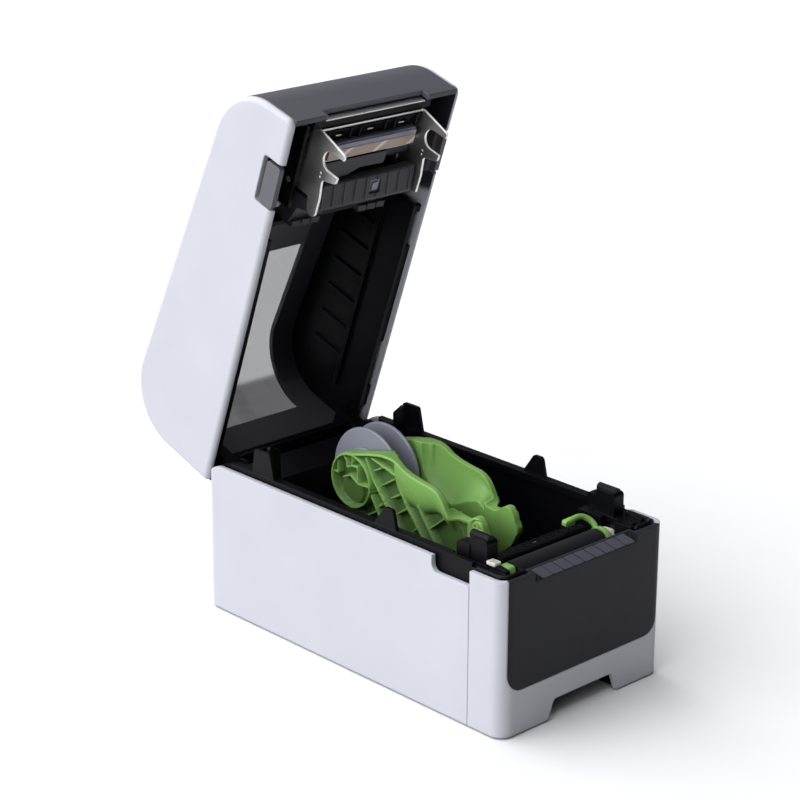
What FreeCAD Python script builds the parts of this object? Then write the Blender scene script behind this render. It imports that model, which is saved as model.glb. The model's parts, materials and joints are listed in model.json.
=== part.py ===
"""Desktop receipt and label printer with its clamshell cover open, as separate pieces.

Millimetres. X runs across the printer, Y from front to back and Z up. The origin is on the
table under the middle of the base. Cover pieces are drawn shut and then swung open.
"""
import FreeCAD
import Part
import math
import os

V = FreeCAD.Vector

# Overall sizes
WIDTH = 108.0
DEPTH = 205.0
HALF = WIDTH / 2
FRONT = -DEPTH / 2
REAR = DEPTH / 2
FOOT = 1.0
RIM = 77.0
WALL = 2.5

# Cover outline and hinge
MATE = 77.5
COVER_FRONT_TOP = (-101.0, 122.2)
COVER_REAR_TOP = 144.8
COVER_ROUND = 30.0
PANEL = 3.0
WINDOW_HALF = 32.5
WINDOW_START = 14.0
WINDOW_LOW = 107.0
HINGE_Y = 95.0
HINGE_Z = 70.9
OPEN_ANGLE = 70.7
PIN_R = 1.5

# Base shell
SEAM_Y = -81.0
BASE_ROUND = 10.5
BEZEL_ROUND = 7.0
REAR_ROUND = 5.0
POCKET = (-57.0, 69.5)
FACE_HALF = 50.0
FACE_LOW = 22.4
FACE_ROUND = 9.0
FACE_DEEP = 1.8
BAND_HALF = 34.0
BAND_SLOPE = 4.3
NOTCH_HALF = 19.5
NOTCH_TOP = 10.5

# Black inner frame
FRAME = 50.8
FRAME_WALL = 2.5
FRAME_FRONT = -97.2
RIM_TOP = 79.5
RIM_IN = 46.3
FLOOR = (10.0, 12.0)
BAY_REAR = 62.0
BAY_FRONT = -66.0
DECK_TOP = 76.0
CORNER_DECK = (75.0, 77.6)
SIDE_PLATE = (35.0, 37.6)

# Roller and its gears
ROLLER = (-83.0, 68.2)
ROLLER_R = 6.5
ROLLER_HALF = 28.5
SHAFT_R = 2.5
LEVER_R = 1.45
BUSH_R = 4.3
MODULE = 0.8
ROLLER_TEETH = 14
IDLER_TEETH = 30
PINION_TEETH = 12
GEAR_X = (40.5, 45.0)
IDLER_WAY = math.radians(-95)
PINION_WAY = math.radians(-75)

# Sliding roll guides
HUB = (37.0, 76.2)
HUB_R = 17.0
DISC_R = 24.0
GUIDE_IN = 6.5
GUIDE_OUT = 17.5
GUIDE_PLATE = (9.5, 11.5)
GUIDE_GEAR = (0.0, -5.0)
GUIDE_MODULE = 1.0
GUIDE_TEETH = 16
RACK_Z = (5.2, 9.2)

# Print head in the cover
PLATE_X = (31.9, 33.1)
BLADE_HALF = 31.2
RAMP_HALF = 30.6
HEAD_PIVOT = (-63.5, 88.0)
HOLDER_TOP = 90.8
HOLDER_X = (-31.7, 31.7)
TAB_CENTRES = (-20, 0, 20)
RELEASE_AXIS = (-44.0, 97.0)
TAB = (-77.5, -55.8, 77.8, 87.2)
BUTTON_Y = -58.0
BUTTON_X = 13.0

PRESSURE_ANGLE = math.radians(20)


def box(x, y, z):
    """Block between three pairs of limits."""
    return Part.makeBox(x[1] - x[0], y[1] - y[0], z[1] - z[0], V(x[0], y[0], z[0]))


def lift(axis, u, v, w):
    """Point with section coordinates u, v at w along the axis."""
    return {"x": V(w, u, v), "y": V(u, w, v), "z": V(u, v, w)}[axis]


def outline(axis, points, w):
    """Closed wire through corner points; a third number rounds that corner."""
    corners = [lift(axis, p[0], p[1], w) for p in points]
    count = len(corners)
    starts, edges = [], []
    for i, corner in enumerate(corners):
        radius = points[i][2] if len(points[i]) > 2 else 0
        back = (corners[i - 1] - corner).normalize()
        ahead = (corners[(i + 1) % count] - corner).normalize()
        if not radius:
            starts.append((corner, corner, None))
            continue
        half = back.getAngle(ahead) / 2
        reach = radius / math.tan(half)
        middle = (back + ahead).normalize() * (radius / math.sin(half) - radius)
        starts.append((corner + back * reach, corner + ahead * reach, corner + middle))
    for i, (first, last, middle) in enumerate(starts):
        if middle is not None:
            edges.append(Part.Arc(first, middle, last).toShape())
        following = starts[(i + 1) % count][0]
        if last.distanceToPoint(following) > 1e-6:
            edges.append(Part.LineSegment(last, following).toShape())
    return Part.Wire(edges)


def prism(axis, points, limits):
    """Outline carried along an axis between two limits."""
    face = Part.Face(outline(axis, points, limits[0]))
    return face.extrude(lift(axis, 0, 0, limits[1] - limits[0]))


def rod(axis, centre, radius, limits):
    """Round bar along an axis."""
    start = lift(axis, centre[0], centre[1], limits[0])
    return Part.makeCylinder(radius, limits[1] - limits[0], start, lift(axis, 0, 0, 1))


def joined(shapes):
    """One solid out of several touching ones."""
    return shapes[0].fuse(shapes[1:]).removeSplitter()


def flip(shape):
    """Mirror image on the other side of the printer."""
    return shape.mirror(V(0, 0, 0), V(1, 0, 0))


def pair(shape):
    """A piece and its mirror image as separate solids."""
    return Part.makeCompound([shape, flip(shape)])


def both(shapes):
    """The shapes with their mirror images."""
    return shapes + [flip(s) for s in shapes]


def involute(angle):
    return math.tan(angle) - angle


def gear(axis, teeth, module, centre, limits, phase, bore, slack=0.05):
    """Spur gear with involute flanks; a tooth points along the phase angle."""
    pitch = teeth * module / 2
    base = pitch * math.cos(PRESSURE_ANGLE)
    root = pitch - 1.25 * module
    tip = pitch + 0.85 * module
    at_pitch = math.pi / (2 * teeth) - slack * module / pitch
    low = max(base, root) * 1.001
    flank = []
    for i in range(4):
        radius = low + (tip - low) * i / 3
        flank.append((radius, at_pitch + involute(PRESSURE_ANGLE) - involute(math.acos(base / radius))))
    points = []
    for k in range(teeth):
        mid = phase + 2 * math.pi * k / teeth
        side = [(root, flank[0][1])] + flank
        around = [(r, mid - a) for r, a in side] + [(r, mid + a) for r, a in reversed(side)]
        points += [(centre[0] + r * math.cos(a), centre[1] + r * math.sin(a)) for r, a in around]
    return prism(axis, points, limits).cut(rod(axis, centre, bore, limits))


def mesh_phase(way, teeth, phase, follower_teeth):
    """Phase of a gear that meshes with another along the line of centres."""
    step = 2 * math.pi / teeth
    offset = (phase - way + step / 2) % step - step / 2
    return way + math.pi - offset * teeth / follower_teeth + math.pi / follower_teeth


def step_from(centre, way, reach):
    return (centre[0] + reach * math.cos(way), centre[1] + reach * math.sin(way))


IDLER = step_from(ROLLER, IDLER_WAY, MODULE * (ROLLER_TEETH + IDLER_TEETH) / 2)
PINION = step_from(IDLER, PINION_WAY, MODULE * (IDLER_TEETH + PINION_TEETH) / 2)


def base_plan(inset=0.0):
    """Plan of the whole base, front corners first."""
    x = HALF - inset
    return [(-x, FRONT + inset, BEZEL_ROUND - inset), (x, FRONT + inset, BEZEL_ROUND - inset),
            (x, REAR - inset, REAR_ROUND - inset), (-x, REAR - inset, REAR_ROUND - inset)]


def base_block():
    """Solid base with its rounded top edge at the back."""
    side = [(FRONT, FOOT), (REAR, FOOT), (REAR, RIM, BASE_ROUND), (FRONT, RIM)]
    block = prism("z", base_plan(), (FOOT, RIM)).common(prism("x", side, (-HALF, HALF)))
    return block.cut(prism("z", base_plan(WALL), (0, RIM + 1)))


def base_cover():
    """White side and rear walls, with pockets at the front and slots for the hinge knuckles."""
    shell = base_block().common(box((-HALF, HALF), (SEAM_Y, REAR), (0, RIM)))
    y1, z0 = POCKET
    pocket = prism("x", [(SEAM_Y - 1, z0), (y1, z0, 4), (y1, RIM + 1), (SEAM_Y - 1, RIM + 1)], (-HALF, HALF))
    hinge = box((35.4, 48.7), (88, REAR + 1), (65.4, RIM + 1))
    jack = box((-32.4, -17.6), (98, REAR + 1), (8.2, 20.0))
    usb = box((-5.0, 5.0), (98, REAR + 1), (8.2, 12.4))
    return shell.cut([pocket, hinge, flip(hinge), jack, usb])


def front_bezel():
    """White front with cheeks, a recess for the dark face and a notch under the chin."""
    shell = base_block().common(box((-HALF, HALF), (FRONT, SEAM_Y - 0.2), (0, RIM)))
    face = face_plate(0.0)
    notch = [(-NOTCH_HALF - 4, 0), (-NOTCH_HALF, NOTCH_TOP, 2.5), (NOTCH_HALF, NOTCH_TOP, 2.5), (NOTCH_HALF + 4, 0)]
    open_top = box((-BAND_HALF - 1, BAND_HALF + 1), (FRONT - 1, FRONT + WALL + 1), (66, RIM + 1))
    return shell.cut([face, prism("y", notch, (FRONT - 1, FRONT + 6)), open_top])


def face_plate(gap):
    """Dark face: the front skin of the base inside a rounded outline."""
    x = FACE_HALF - gap
    low = FACE_LOW + gap
    shape = [(-x, low, FACE_ROUND), (x, low, FACE_ROUND), (x, RIM), (-x, RIM)]
    skin = prism("z", base_plan(), (FOOT, RIM))
    return skin.common(prism("y", shape, (FRONT - 1, FRONT + FACE_DEEP)))


def front_panel():
    """Dark face with a sloped tear band of slanted tiles along its top."""
    lip_back = FRONT + 6.0
    slope = [(FRONT - 1, RIM + 1), (FRONT - 1, RIM - BAND_SLOPE - 1), (FRONT + BAND_SLOPE, RIM)]
    body = [(FRONT + 0.5, 66.4), (FRONT + 0.5, RIM), (lip_back, RIM), (lip_back, 74.5), (FRONT + 2.2, 70.0)]
    panel = joined([face_plate(0.15), prism("x", body, (-BAND_HALF - 0.8, BAND_HALF + 0.8))])
    panel = panel.cut(prism("x", slope, (-BAND_HALF, BAND_HALF)))
    grooves = []
    for i in range(10):
        groove = box((-0.2, 0.2), (-0.6, 9.0), (-0.35, 0.5))
        groove.rotate(V(0, 0, 0), V(0, 0, 1), -24)
        groove.rotate(V(0, 0, 0), V(1, 0, 0), 45)
        groove.translate(V(-BAND_HALF + 1.5 + i * 6.9, FRONT - 0.5, RIM - BAND_SLOPE - 0.5))
        grooves.append(groove)
    return panel.cut(grooves)


def inner_frame():
    """Black tub: side walls with their rims, floor, rear bay wall, fins and stays."""
    inner = FRAME - FRAME_WALL
    side = [(FRAME_FRONT, FLOOR[0]), (96.5, FLOOR[0]), (96.5, 62), (88, 62), (88, RIM_TOP), (SEAM_Y + 1.5, RIM_TOP),
            (SEAM_Y + 1.5, CORNER_DECK[1]), (FRAME_FRONT, CORNER_DECK[1])]
    wall = prism("x", side, (inner, FRAME))
    rim = box((RIM_IN, FRAME), (-64.5, 86), (DECK_TOP, RIM_TOP))
    pads = [box((FRAME - 1, HALF - WALL), (y, y + 4), (15, 60)) for y in (-44, 0, 44)]
    fin = prism("x", [(-15, 79), (-22, 89, 1.2), (-27.5, 89, 1.8), (-30, 79)], (48.6, 50.4))
    stay = prism("x", [(56, 79), (59, 92, 1.5), (70, 92, 1.5), (72, 79)], (48.6, 50.4))
    boss = [rod("z", (30, y), 4.0, (4.7, FLOOR[0])) for y in (-85, 48)]
    post = rod("z", GUIDE_GEAR, 3.0, (4.9, FLOOR[0]))
    floor = box((-inner, inner), (FRAME_FRONT, BAY_REAR + 2), FLOOR)
    back = box((-inner, inner), (BAY_REAR, BAY_REAR + 2.5), (FLOOR[0], DECK_TOP))
    frame = joined([floor, back, post] + both([wall, rim, fin, stay] + pads + boss))
    holes = both([rod("z", (30, y), 1.55, (0, 13)) for y in (-85, 48)])
    left_slot = box((-39.5, -9.0), (-18.7, -14.1), (9, 13))
    right_slot = box((9.0, 39.5), (4.1, 8.7), (9, 13))
    return frame.cut(holes + [left_slot, right_slot])


def front_cradle():
    """Black cradle of the roller: cross wall, cheeks, corner decks, posts and catches."""
    inner = FRAME - FRAME_WALL
    cross = box((-SIDE_PLATE[0], SIDE_PLATE[0]), (BAY_FRONT - 2, BAY_FRONT), (FLOOR[1], 66))
    cheek = box(SIDE_PLATE, (FRAME_FRONT, BAY_FRONT), (FLOOR[1], CORNER_DECK[1]))
    deck = box((SIDE_PLATE[0], inner), (FRAME_FRONT, -64.5), CORNER_DECK)
    plate = prism("x", [(-73, 76), (-73, 85, 1), (-64.8, 85, 1.5), (-64.8, 76)], (40.4, 46.0))
    column = prism("x", [(-83.4, 76), (-83.4, 89, 2), (-72, 89, 2), (-72, 76)], (38.6, 45.4))
    knob = rod("y", (42.0, 89.0), 2.0, (-82.4, -71.0))
    bar = prism("x", [(-96, 77), (-96, 78.8, 0.6), (-86, 80.4, 1), (-86, 77)], (43.6, 46.2))
    pip = rod("z", (39.4, -94.4), 1.7, (77, 78.6)).cut(rod("z", (39.4, -94.4), 0.8, (78, 79)))
    cradle = joined([cross] + both([cheek, deck, plate, column, knob, bar, pip]))
    half = BUSH_R + 0.02
    saddle = [rod("x", ROLLER, half, (34, 38)), box((34, 38), (ROLLER[0] - half, ROLLER[0] + half), (ROLLER[1], 80))]
    lock_slot = box((-43.6, -38.0), (-98.5, -86.5), (74, 79))
    axles = [rod("x", IDLER, PIN_R, (34, 38)), rod("x", PINION, 2.4, (34, 38))]
    return cradle.cut(both(saddle) + axles + [lock_slot])


def rear_shelf():
    """Black shelf behind the roll bay with its uprights, rear wall and hinge lugs."""
    inner = FRAME - FRAME_WALL
    front = BAY_REAR + 2.5
    deck = box((-inner, inner), (front, 88), (DECK_TOP - 2.5, DECK_TOP))
    drop = box((-inner, inner), (85.5, 88), (60, DECK_TOP))
    ledge = box((-inner, inner), (85.5, 99), (60, 62))
    back = box((-inner, inner), (96.5, 99), (4.8, 62))
    lip = box((-35, 35), (96.5, 99), (61, 69))
    upright = prism("y", [(38.5, 75), (38.5, 90, 1), (45.4, 93, 1), (45.4, 75)], (front, front + 2.2))
    lug_side = [(87, 61), (98.6, 61), (100.2, 66.5, 3), (100.2, 76.1, 5), (89.9, 76.1, 5), (87, 68)]
    lugs = [prism("x", lug_side, limits) for limits in ((35.9, 38.4), (45.6, 48.3))]
    shelf = joined([deck, drop, ledge, back, lip] + both([upright] + lugs))
    jack = box((-32.4, -17.6), (95, 100), (8.2, 20.0))
    usb = box((-5.0, 5.0), (95, 100), (8.2, 12.4))
    return shelf.cut([rod("x", (HINGE_Y, HINGE_Z), PIN_R, (-49, 49)), jack, usb])


def bottom_plate():
    """Floor pan with feet recesses, board posts and screw holes."""
    pan = prism("z", base_plan(WALL), (1.8, 4.5))
    chin = box((-NOTCH_HALF - 4, NOTCH_HALF + 4), (FRONT, -90), (0, 5))
    posts = both([rod("z", (42, y), 3.0, (4.5, 7.0)) for y in (70, 91)])
    holes = both([rod("z", (30, y), 1.7, (0, 6)) for y in (-85, 48)])
    heads = both([rod("z", (30, y), 3.3, (0, 3.2)) for y in (-85, 48)])
    return joined([pan] + posts).cut([chin] + holes + heads)


def rubber_feet():
    """Four round feet with a soft lower edge."""
    feet = []
    for x in (-42, 42):
        for y in (-84, 86):
            foot = rod("z", (x, y), 6.0, (0, 1.8))
            feet.append(foot.makeFillet(0.6, [e for e in foot.Edges if e.BoundBox.ZMax < 0.1]))
    return Part.makeCompound(feet)


def screw(x, y, head, shank, up=1):
    """Pan-head screw with a cross recess; head and shank are limits along Z."""
    body = rod("z", (x, y), 2.8, head).fuse(rod("z", (x, y), 1.45, shank))
    low = head[0] if up > 0 else head[1] - 0.8
    slots = [box((x - a, x + a), (y - b, y + b), (low, low + 0.8)) for a, b in ((1.6, 0.35), (0.35, 1.6))]
    return body.cut(slots)


def base_screws():
    """Screws that hold the floor pan to the frame."""
    spots = [(x, y) for x in (-30, 30) for y in (-85, 48)]
    return Part.makeCompound([screw(x, y, (1.8, 3.2), (3.2, 11.5)) for x, y in spots])


def paper_guide():
    """Ribbed ramp behind the roller, with a window for the sensor."""
    side = [(-75.6, 66), (-75.6, 73, 1.5), (-72.5, 73.6, 1), (-62, 69, 1), (-62, 66)]
    ramp = prism("x", side, (-29, 29))
    rib = [(-74.2, 72), (-72.5, 74.2, 0.6), (-63, 70.1, 0.6), (-63, 68)]
    ribs = [prism("x", rib, (x - 0.5, x + 0.5)) for x in range(-25, 26, 5)]
    window = box((-4, 4), (-71.5, -66.5), (65, 76))
    return joined([ramp] + ribs).cut(window)


def gap_sensor():
    """Small optical sensor set in the ramp."""
    lens = rod("z", (0, -69), 1.0, (70.5, 71.0))
    return joined([box((-3.8, 3.8), (-71.3, -66.7), (66.0, 70.5)), lens])


def hinge_pin(side):
    """Steel pin with a domed outer end."""
    pin = rod("x", (HINGE_Y, HINGE_Z), PIN_R - 0.02, (35.6, 48.35))
    return pin if side > 0 else flip(pin)


def drive_motor():
    """Stepper motor on a flange against the right cheek."""
    body = rod("x", PINION, 11.0, (12, 33.2))
    y, z = PINION
    ears = [(y - 14, z + 4, 3), (y - 14, z - 4, 3), (y + 11.5, z - 4, 3), (y + 11.5, z + 4, 3)]
    flange = prism("x", ears, (33.2, SIDE_PLATE[0]))
    plug = box((14, 24), (y - 5, y + 5), (z - 14, z - 8))
    return joined([body, flange, plug]).cut(rod("x", PINION, 1.56, (20, 36)))


def main_board():
    """Control board with its larger parts."""
    y0, y1, z = 66.0, 94.5, 7.0
    board = box((-46, 46), (y0, y1), (z, z + 1.6))
    top = z + 1.6
    chips = [box((12, 24), (72, 84), (top, top + 1.6)), box((28, 36), (70, 78), (top, top + 1.2)),
             box((-14, -6), (68, 76), (top, top + 1.4)), box((30, 44), (86, 92), (top, top + 7))]
    cans = [rod("z", (-38, 72 + 9 * i), 4.0, (top, top + 11)) for i in range(2)]
    return joined([board] + chips + cans)


def dc_inlet():
    """Barrel power jack with its centre pin."""
    block = box((-32, -18), (86, REAR - 0.4), (8.6, 19.6))
    bore = rod("y", (-25, 14.1), 3.0, (92, REAR))
    pin = rod("y", (-25, 14.1), 1.0, (91, REAR - 2))
    return block.cut(bore).fuse(pin).removeSplitter()


def usb_port():
    """Flat reversible data socket with its tongue."""
    mouth = [(-4.5, 8.6, 1.55), (4.5, 8.6, 1.55), (4.5, 11.9, 1.55), (-4.5, 11.9, 1.55)]
    hollow = [(-4.1, 9.0, 1.2), (4.1, 9.0, 1.2), (4.1, 11.5, 1.2), (-4.1, 11.5, 1.2)]
    shell = prism("y", mouth, (92, REAR - 0.4)).cut(prism("y", hollow, (94, REAR)))
    return joined([shell, box((-3.2, 3.2), (93.5, REAR - 2), (9.95, 10.55))])


def idler_axle():
    return rod("x", IDLER, PIN_R, (SIDE_PLATE[0], 46.5))


def platen_bearings():
    """Flanged bushes that carry the roller shaft; the left one is longer."""
    bushes = []
    for low, high in ((29.0, SIDE_PLATE[1]), (-42.0, -29.0)):
        flange = (33.6, SIDE_PLATE[0]) if low > 0 else (-SIDE_PLATE[0], -33.6)
        bush = joined([rod("x", ROLLER, BUSH_R, (low, high)), rod("x", ROLLER, 5.6, flange)])
        bushes.append(bush.cut(rod("x", ROLLER, SHAFT_R + 0.05, (low, high))))
    return Part.makeCompound(bushes)


def platen_shaft():
    return rod("x", ROLLER, SHAFT_R, (-43.0, GEAR_X[1] + 1))


def platen_sleeve():
    """Rubber sleeve with softened ends."""
    sleeve = rod("x", ROLLER, ROLLER_R, (-ROLLER_HALF, ROLLER_HALF))
    sleeve = sleeve.makeChamfer(0.5, [e for e in sleeve.Edges if isinstance(e.Curve, Part.Circle)])
    return sleeve.cut(rod("x", ROLLER, SHAFT_R, (-30, 30)))


def platen_gear():
    return gear("x", ROLLER_TEETH, MODULE, ROLLER, GEAR_X, IDLER_WAY, SHAFT_R)


def idler_phase():
    return mesh_phase(IDLER_WAY, ROLLER_TEETH, IDLER_WAY, IDLER_TEETH)


def idler_gear():
    """Middle gear with a thinned web."""
    wheel = gear("x", IDLER_TEETH, MODULE, IDLER, GEAR_X, idler_phase(), PIN_R + 0.05)
    ring = rod("x", IDLER, 9.2, (43.4, 46)).cut(rod("x", IDLER, 4.0, (43.4, 46)))
    return wheel.cut(ring)


def motor_pinion():
    """Pinion cut on the motor shaft."""
    phase = mesh_phase(PINION_WAY, IDLER_TEETH, idler_phase(), PINION_TEETH)
    wheel = gear("x", PINION_TEETH, MODULE, PINION, GEAR_X, phase, 1.0)
    return joined([wheel, rod("x", PINION, 1.5, (22, GEAR_X[1]))])


def platen_lock_right():
    """Green lever on the right bush: a collar and a curved finger arm."""
    collar = rod("x", ROLLER, 6.8, (29.2, 31.4)).cut(rod("x", ROLLER, BUSH_R + 0.06, (29, 32)))
    path = [V(30.05, -80.4, 73.4), V(29.4, -77.0, 77.0), V(27.0, -74.8, 78.6), V(22.0, -74.3, 79.2),
            V(15.6, -74.2, 78.2)]
    curve = Part.BSplineCurve()
    curve.interpolate(path)
    ring = Part.Wire([Part.Circle(path[0], curve.tangent(curve.FirstParameter)[0], LEVER_R).toShape()])
    arm = Part.Wire([curve.toShape()]).makePipeShell([ring], True, True)
    paddle = prism("y", [(14.6, 76.7, 1.2), (21, 76.9, 1.2), (21, 80.0, 1.2), (14.6, 79.7, 1.2)], (-75.6, -72.8))
    lever = joined([joined([collar, arm]), paddle])
    return lever.cut(rod("x", ROLLER, BUSH_R + 0.06, (28, 32)))


def platen_lock_left():
    """Green catch on the left bush, reached through the deck."""
    x = (-41.8, -39.6)
    collar = rod("x", ROLLER, 6.4, x)
    tab = [(-89.0, 68), (-95.2, 76.4, 1), (-94.0, 79.2, 1.5), (-88.4, 79.2, 1.5), (-86.9, 74.6), (-80, 72)]
    catch = joined([collar, prism("x", tab, x), prism("x", [(-95.0, 76.6), (-94.0, 79.2, 1.5),
                    (-88.4, 79.2, 1.5), (-87.2, 76.6)], (-42.8, -38.6))])
    return catch.cut(rod("x", ROLLER, BUSH_R + 0.06, (-44, -38)))


HUB_REACH = HUB_R + 0.2
GUIDE_SIDE = [(HUB[0] + HUB_REACH, HUB[1] + HUB_REACH, HUB_R), (11.6, 96.9, 6), (2.6, 91.5, 5), (-9.4, 88.9, 8),
              (-19.9, 87.1, 4), (-27.9, 78.1, 4), (-34, 79.8, 5), (-38.5, 78.6, 3), (-44.5, 80.2, 3),
              (-49.4, 77.6, 3), (-50.6, 71, 3), (-44, 59, 4), (-27.4, 31, 5), (-24, 12.3), (14, 12.3), (22, 39, 6),
              (HUB[0] + HUB_REACH, HUB[1] - HUB_REACH, HUB_R)]
CHANNEL = [V(2.1, 1.6, 77.2), V(2.1, -18.4, 70.2)]
CHANNEL_R = 13.0
GUIDE_SKIN = 1.8
GUIDE_RIBS = [(26.1, 91.6, 15.5, 62.6), (21.4, 93.1, 6.1, 56.6), (21.1, 92.1, -0.4, 85.1),
              (4.6, 84.6, -16.1, 59.3), (-6.4, 79.6, -23.4, 56.1), (-19.4, 77.6, -31.4, 58.6),
              (32.6, 62.6, 15.6, 38.6), (14.6, 60.6, -3.4, 28.6), (-3.4, 64.6, -19.4, 38.6)]
GUIDE_STUBS = [(16.6, 78.6, 20.6, 76.6), (11.1, 72.6, 15.1, 70.6), (-0.4, 71.1, 4.1, 69.1),
               (-4.4, 64.6, -0.4, 62.6), (11.6, 87.6, 7.6, 84.1), (-11.4, 69.1, -7.9, 67.1),
               (6.6, 77.6, 10.6, 75.6), (-28.4, 77.6, -35.4, 72.6)]
GUIDE_EYE = (-44.8, 74.6)


def guide_pocket(inset, limits):
    """Hollow that follows the guide's outline at a distance."""
    wire = outline("x", GUIDE_SIDE, limits[0]).makeOffset2D(-inset)
    return Part.Face(wire).extrude(V(limits[1] - limits[0], 0, 0))


def channel_form(radius):
    """Capsule along the front half of a guide."""
    start, end = CHANNEL
    run = Part.makeCylinder(radius, start.distanceToPoint(end), start, end - start)
    return joined([run, Part.makeSphere(radius, start), Part.makeSphere(radius, end)])


def guide_rib(line, thick, limits):
    """Thin rib on the guide's outside between two points of its side view."""
    y0, z0, y1, z1 = line
    rib = box(limits, (0, math.hypot(y1 - y0, z1 - z0)), (-thick / 2, thick / 2))
    rib.rotate(V(0, 0, 0), V(1, 0, 0), math.degrees(math.atan2(z1 - z0, y1 - y0)))
    return rib.translated(V(0, y0, z0))


def hub_walls():
    """Ring, low half-round pad and partitions of the guide's hub."""
    y, z = HUB
    depth = (GUIDE_PLATE[1], GUIDE_OUT)
    ring = rod("x", HUB, HUB_R - 2.4, depth).cut(rod("x", HUB, HUB_R - 4.0, depth))
    pad = rod("x", (y + 1, z - 2), 9.4, (GUIDE_PLATE[1], 14.1)).cut(box((0, 30), (y - 20, y + 20), (z + 3, z + 20)))
    walls = [(y + 12, z + 6, y + 6, z + 5), (y + 6, z + 11.5, y + 6, z + 1), (y, z + 12.6, y, z + 5),
             (y, z + 5, y - 4, z + 5), (y - 4, z + 5, y - 4, z + 9), (y - 4, z + 9, y - 9, z + 9)]
    return [ring, pad] + [guide_rib(line, 1.1, (GUIDE_PLATE[1], GUIDE_OUT - 1.6)) for line in walls]


def guide_arm():
    """Right-hand roll guide: ribbed outside, smooth channel inside, with a partitioned hub."""
    arm = prism("x", GUIDE_SIDE, (GUIDE_IN, GUIDE_OUT))
    pocket = guide_pocket(1.8, (GUIDE_PLATE[1], GUIDE_OUT))
    ribs = [guide_rib(line, 1.3, (GUIDE_PLATE[1], GUIDE_OUT - 0.8)) for line in GUIDE_RIBS]
    ribs += [guide_rib(line, 1.1, (GUIDE_PLATE[1], GUIDE_OUT - 2.4)) for line in GUIDE_STUBS]
    web = joined(ribs).cut(rod("x", HUB, HUB_R - 3, (0, 30)))
    blister = channel_form(CHANNEL_R + GUIDE_SKIN)
    keep = joined([web, blister] + hub_walls())
    arm = arm.cut(pocket.cut(keep))
    flat = guide_pocket(2.6, (GUIDE_IN - 1, GUIDE_PLATE[0]))
    scoop = channel_form(CHANNEL_R).common(guide_pocket(2.6, (GUIDE_IN - 1, GUIDE_OUT)))
    arm = arm.cut([flat, scoop, rod("x", HUB, DISC_R + 1.2, (0, GUIDE_PLATE[0] - 0.4))])
    boss = rod("x", HUB, 7.0, (2.0, GUIDE_PLATE[1]))
    eye = rod("x", GUIDE_EYE, 4.4, (GUIDE_PLATE[1], GUIDE_OUT - 1.2))
    dots = [rod("x", (GUIDE_EYE[0] + d, GUIDE_EYE[1] + 0.8), 0.6, (GUIDE_OUT - 2, GUIDE_OUT)) for d in (-1.7, 1.7)]
    return joined([arm, boss, eye]).cut(dots)


def rack(offset_sign):
    """Toothed bar under the floor with the neck that carries the guide; drawn for the right side."""
    pitch = math.pi * GUIDE_MODULE
    line = GUIDE_GEAR[1] + GUIDE_TEETH * GUIDE_MODULE / 2
    back = line + 4.5
    root = line + 1.25 * GUIDE_MODULE
    tip = line - 0.85 * GUIDE_MODULE
    lean = math.tan(PRESSURE_ANGLE)
    half = pitch / 4 - 0.06
    points = [(GUIDE_OUT, back), (GUIDE_OUT, root)]
    for k in range(4, -10, -1):
        mid = (k + 0.5) * pitch
        points += [(mid + half + lean * (root - line), root), (mid + half + lean * (tip - line), tip),
                   (mid - half - lean * (tip - line), tip), (mid - half - lean * (root - line), root)]
    points += [(points[-1][0] - 1, root), (points[-1][0] - 1, back)]
    bar = prism("z", points, RACK_Z)
    neck = box((11, 17), (line + 1.6, line + 4.5), (RACK_Z[1] - 1, 12.3))
    shape = joined([bar, neck])
    if offset_sign < 0:
        shape.rotate(V(GUIDE_GEAR[0], GUIDE_GEAR[1], 0), V(0, 0, 1), 180)
    return shape


def guide_pinion():
    """Gear between the two racks, so that the guides centre the roll."""
    return gear("z", GUIDE_TEETH, GUIDE_MODULE, GUIDE_GEAR, RACK_Z, math.pi / 2, 3.06)


def spool_disc():
    """Grey flange with a raised core hub that holds the roll."""
    flange = rod("x", HUB, DISC_R, (4.9, 6.6))
    flange = flange.makeFillet(0.6, [e for e in flange.Edges if isinstance(e.Curve, Part.Circle)])
    core = Part.makeCone(11.0, 12.0, 4.4, V(0.5, HUB[0], HUB[1]), V(1, 0, 0))
    step = rod("x", HUB, 9.5, (6.6, GUIDE_PLATE[0] - 0.2))
    return joined([flange, core, step]).cut(rod("x", HUB, 7.06, (1.8, 13)))


def cover_side():
    """Side outline of the shut cover."""
    y, z = COVER_FRONT_TOP
    return [(FRONT, MATE, 4.0), (y, z, COVER_ROUND), (REAR, COVER_REAR_TOP, COVER_ROUND), (REAR, MATE, 2.0)]


def swing(shape):
    """Turn a cover piece from shut to open about the hinge."""
    turned = shape.copy()
    turned.rotate(V(0, HINGE_Y, HINGE_Z), V(1, 0, 0), -OPEN_ANGLE)
    return turned


def cover_skin():
    """Front, top and rear of the cover between its side panels, as one curved wall."""
    y, z = COVER_FRONT_TOP
    outer = [(FRONT, MATE), (y, z, COVER_ROUND), (REAR, COVER_REAR_TOP, COVER_ROUND), (REAR, MATE)]
    wire = outline("x", outer, -HALF + PANEL)
    length = V(2 * (HALF - PANEL), 0, 0)
    inner = Part.Face(wire.makeOffset2D(-WALL)).extrude(length)
    below = box((-HALF, HALF), (FRONT + WALL + 0.1, REAR - WALL), (MATE - 1, 92))
    return Part.Face(wire).extrude(length).cut([inner, below])


def window_region():
    """Space that the window takes out of the cover's top and rear."""
    return box((-WINDOW_HALF, WINDOW_HALF), (WINDOW_START, REAR + 5), (WINDOW_LOW, 160))


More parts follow.
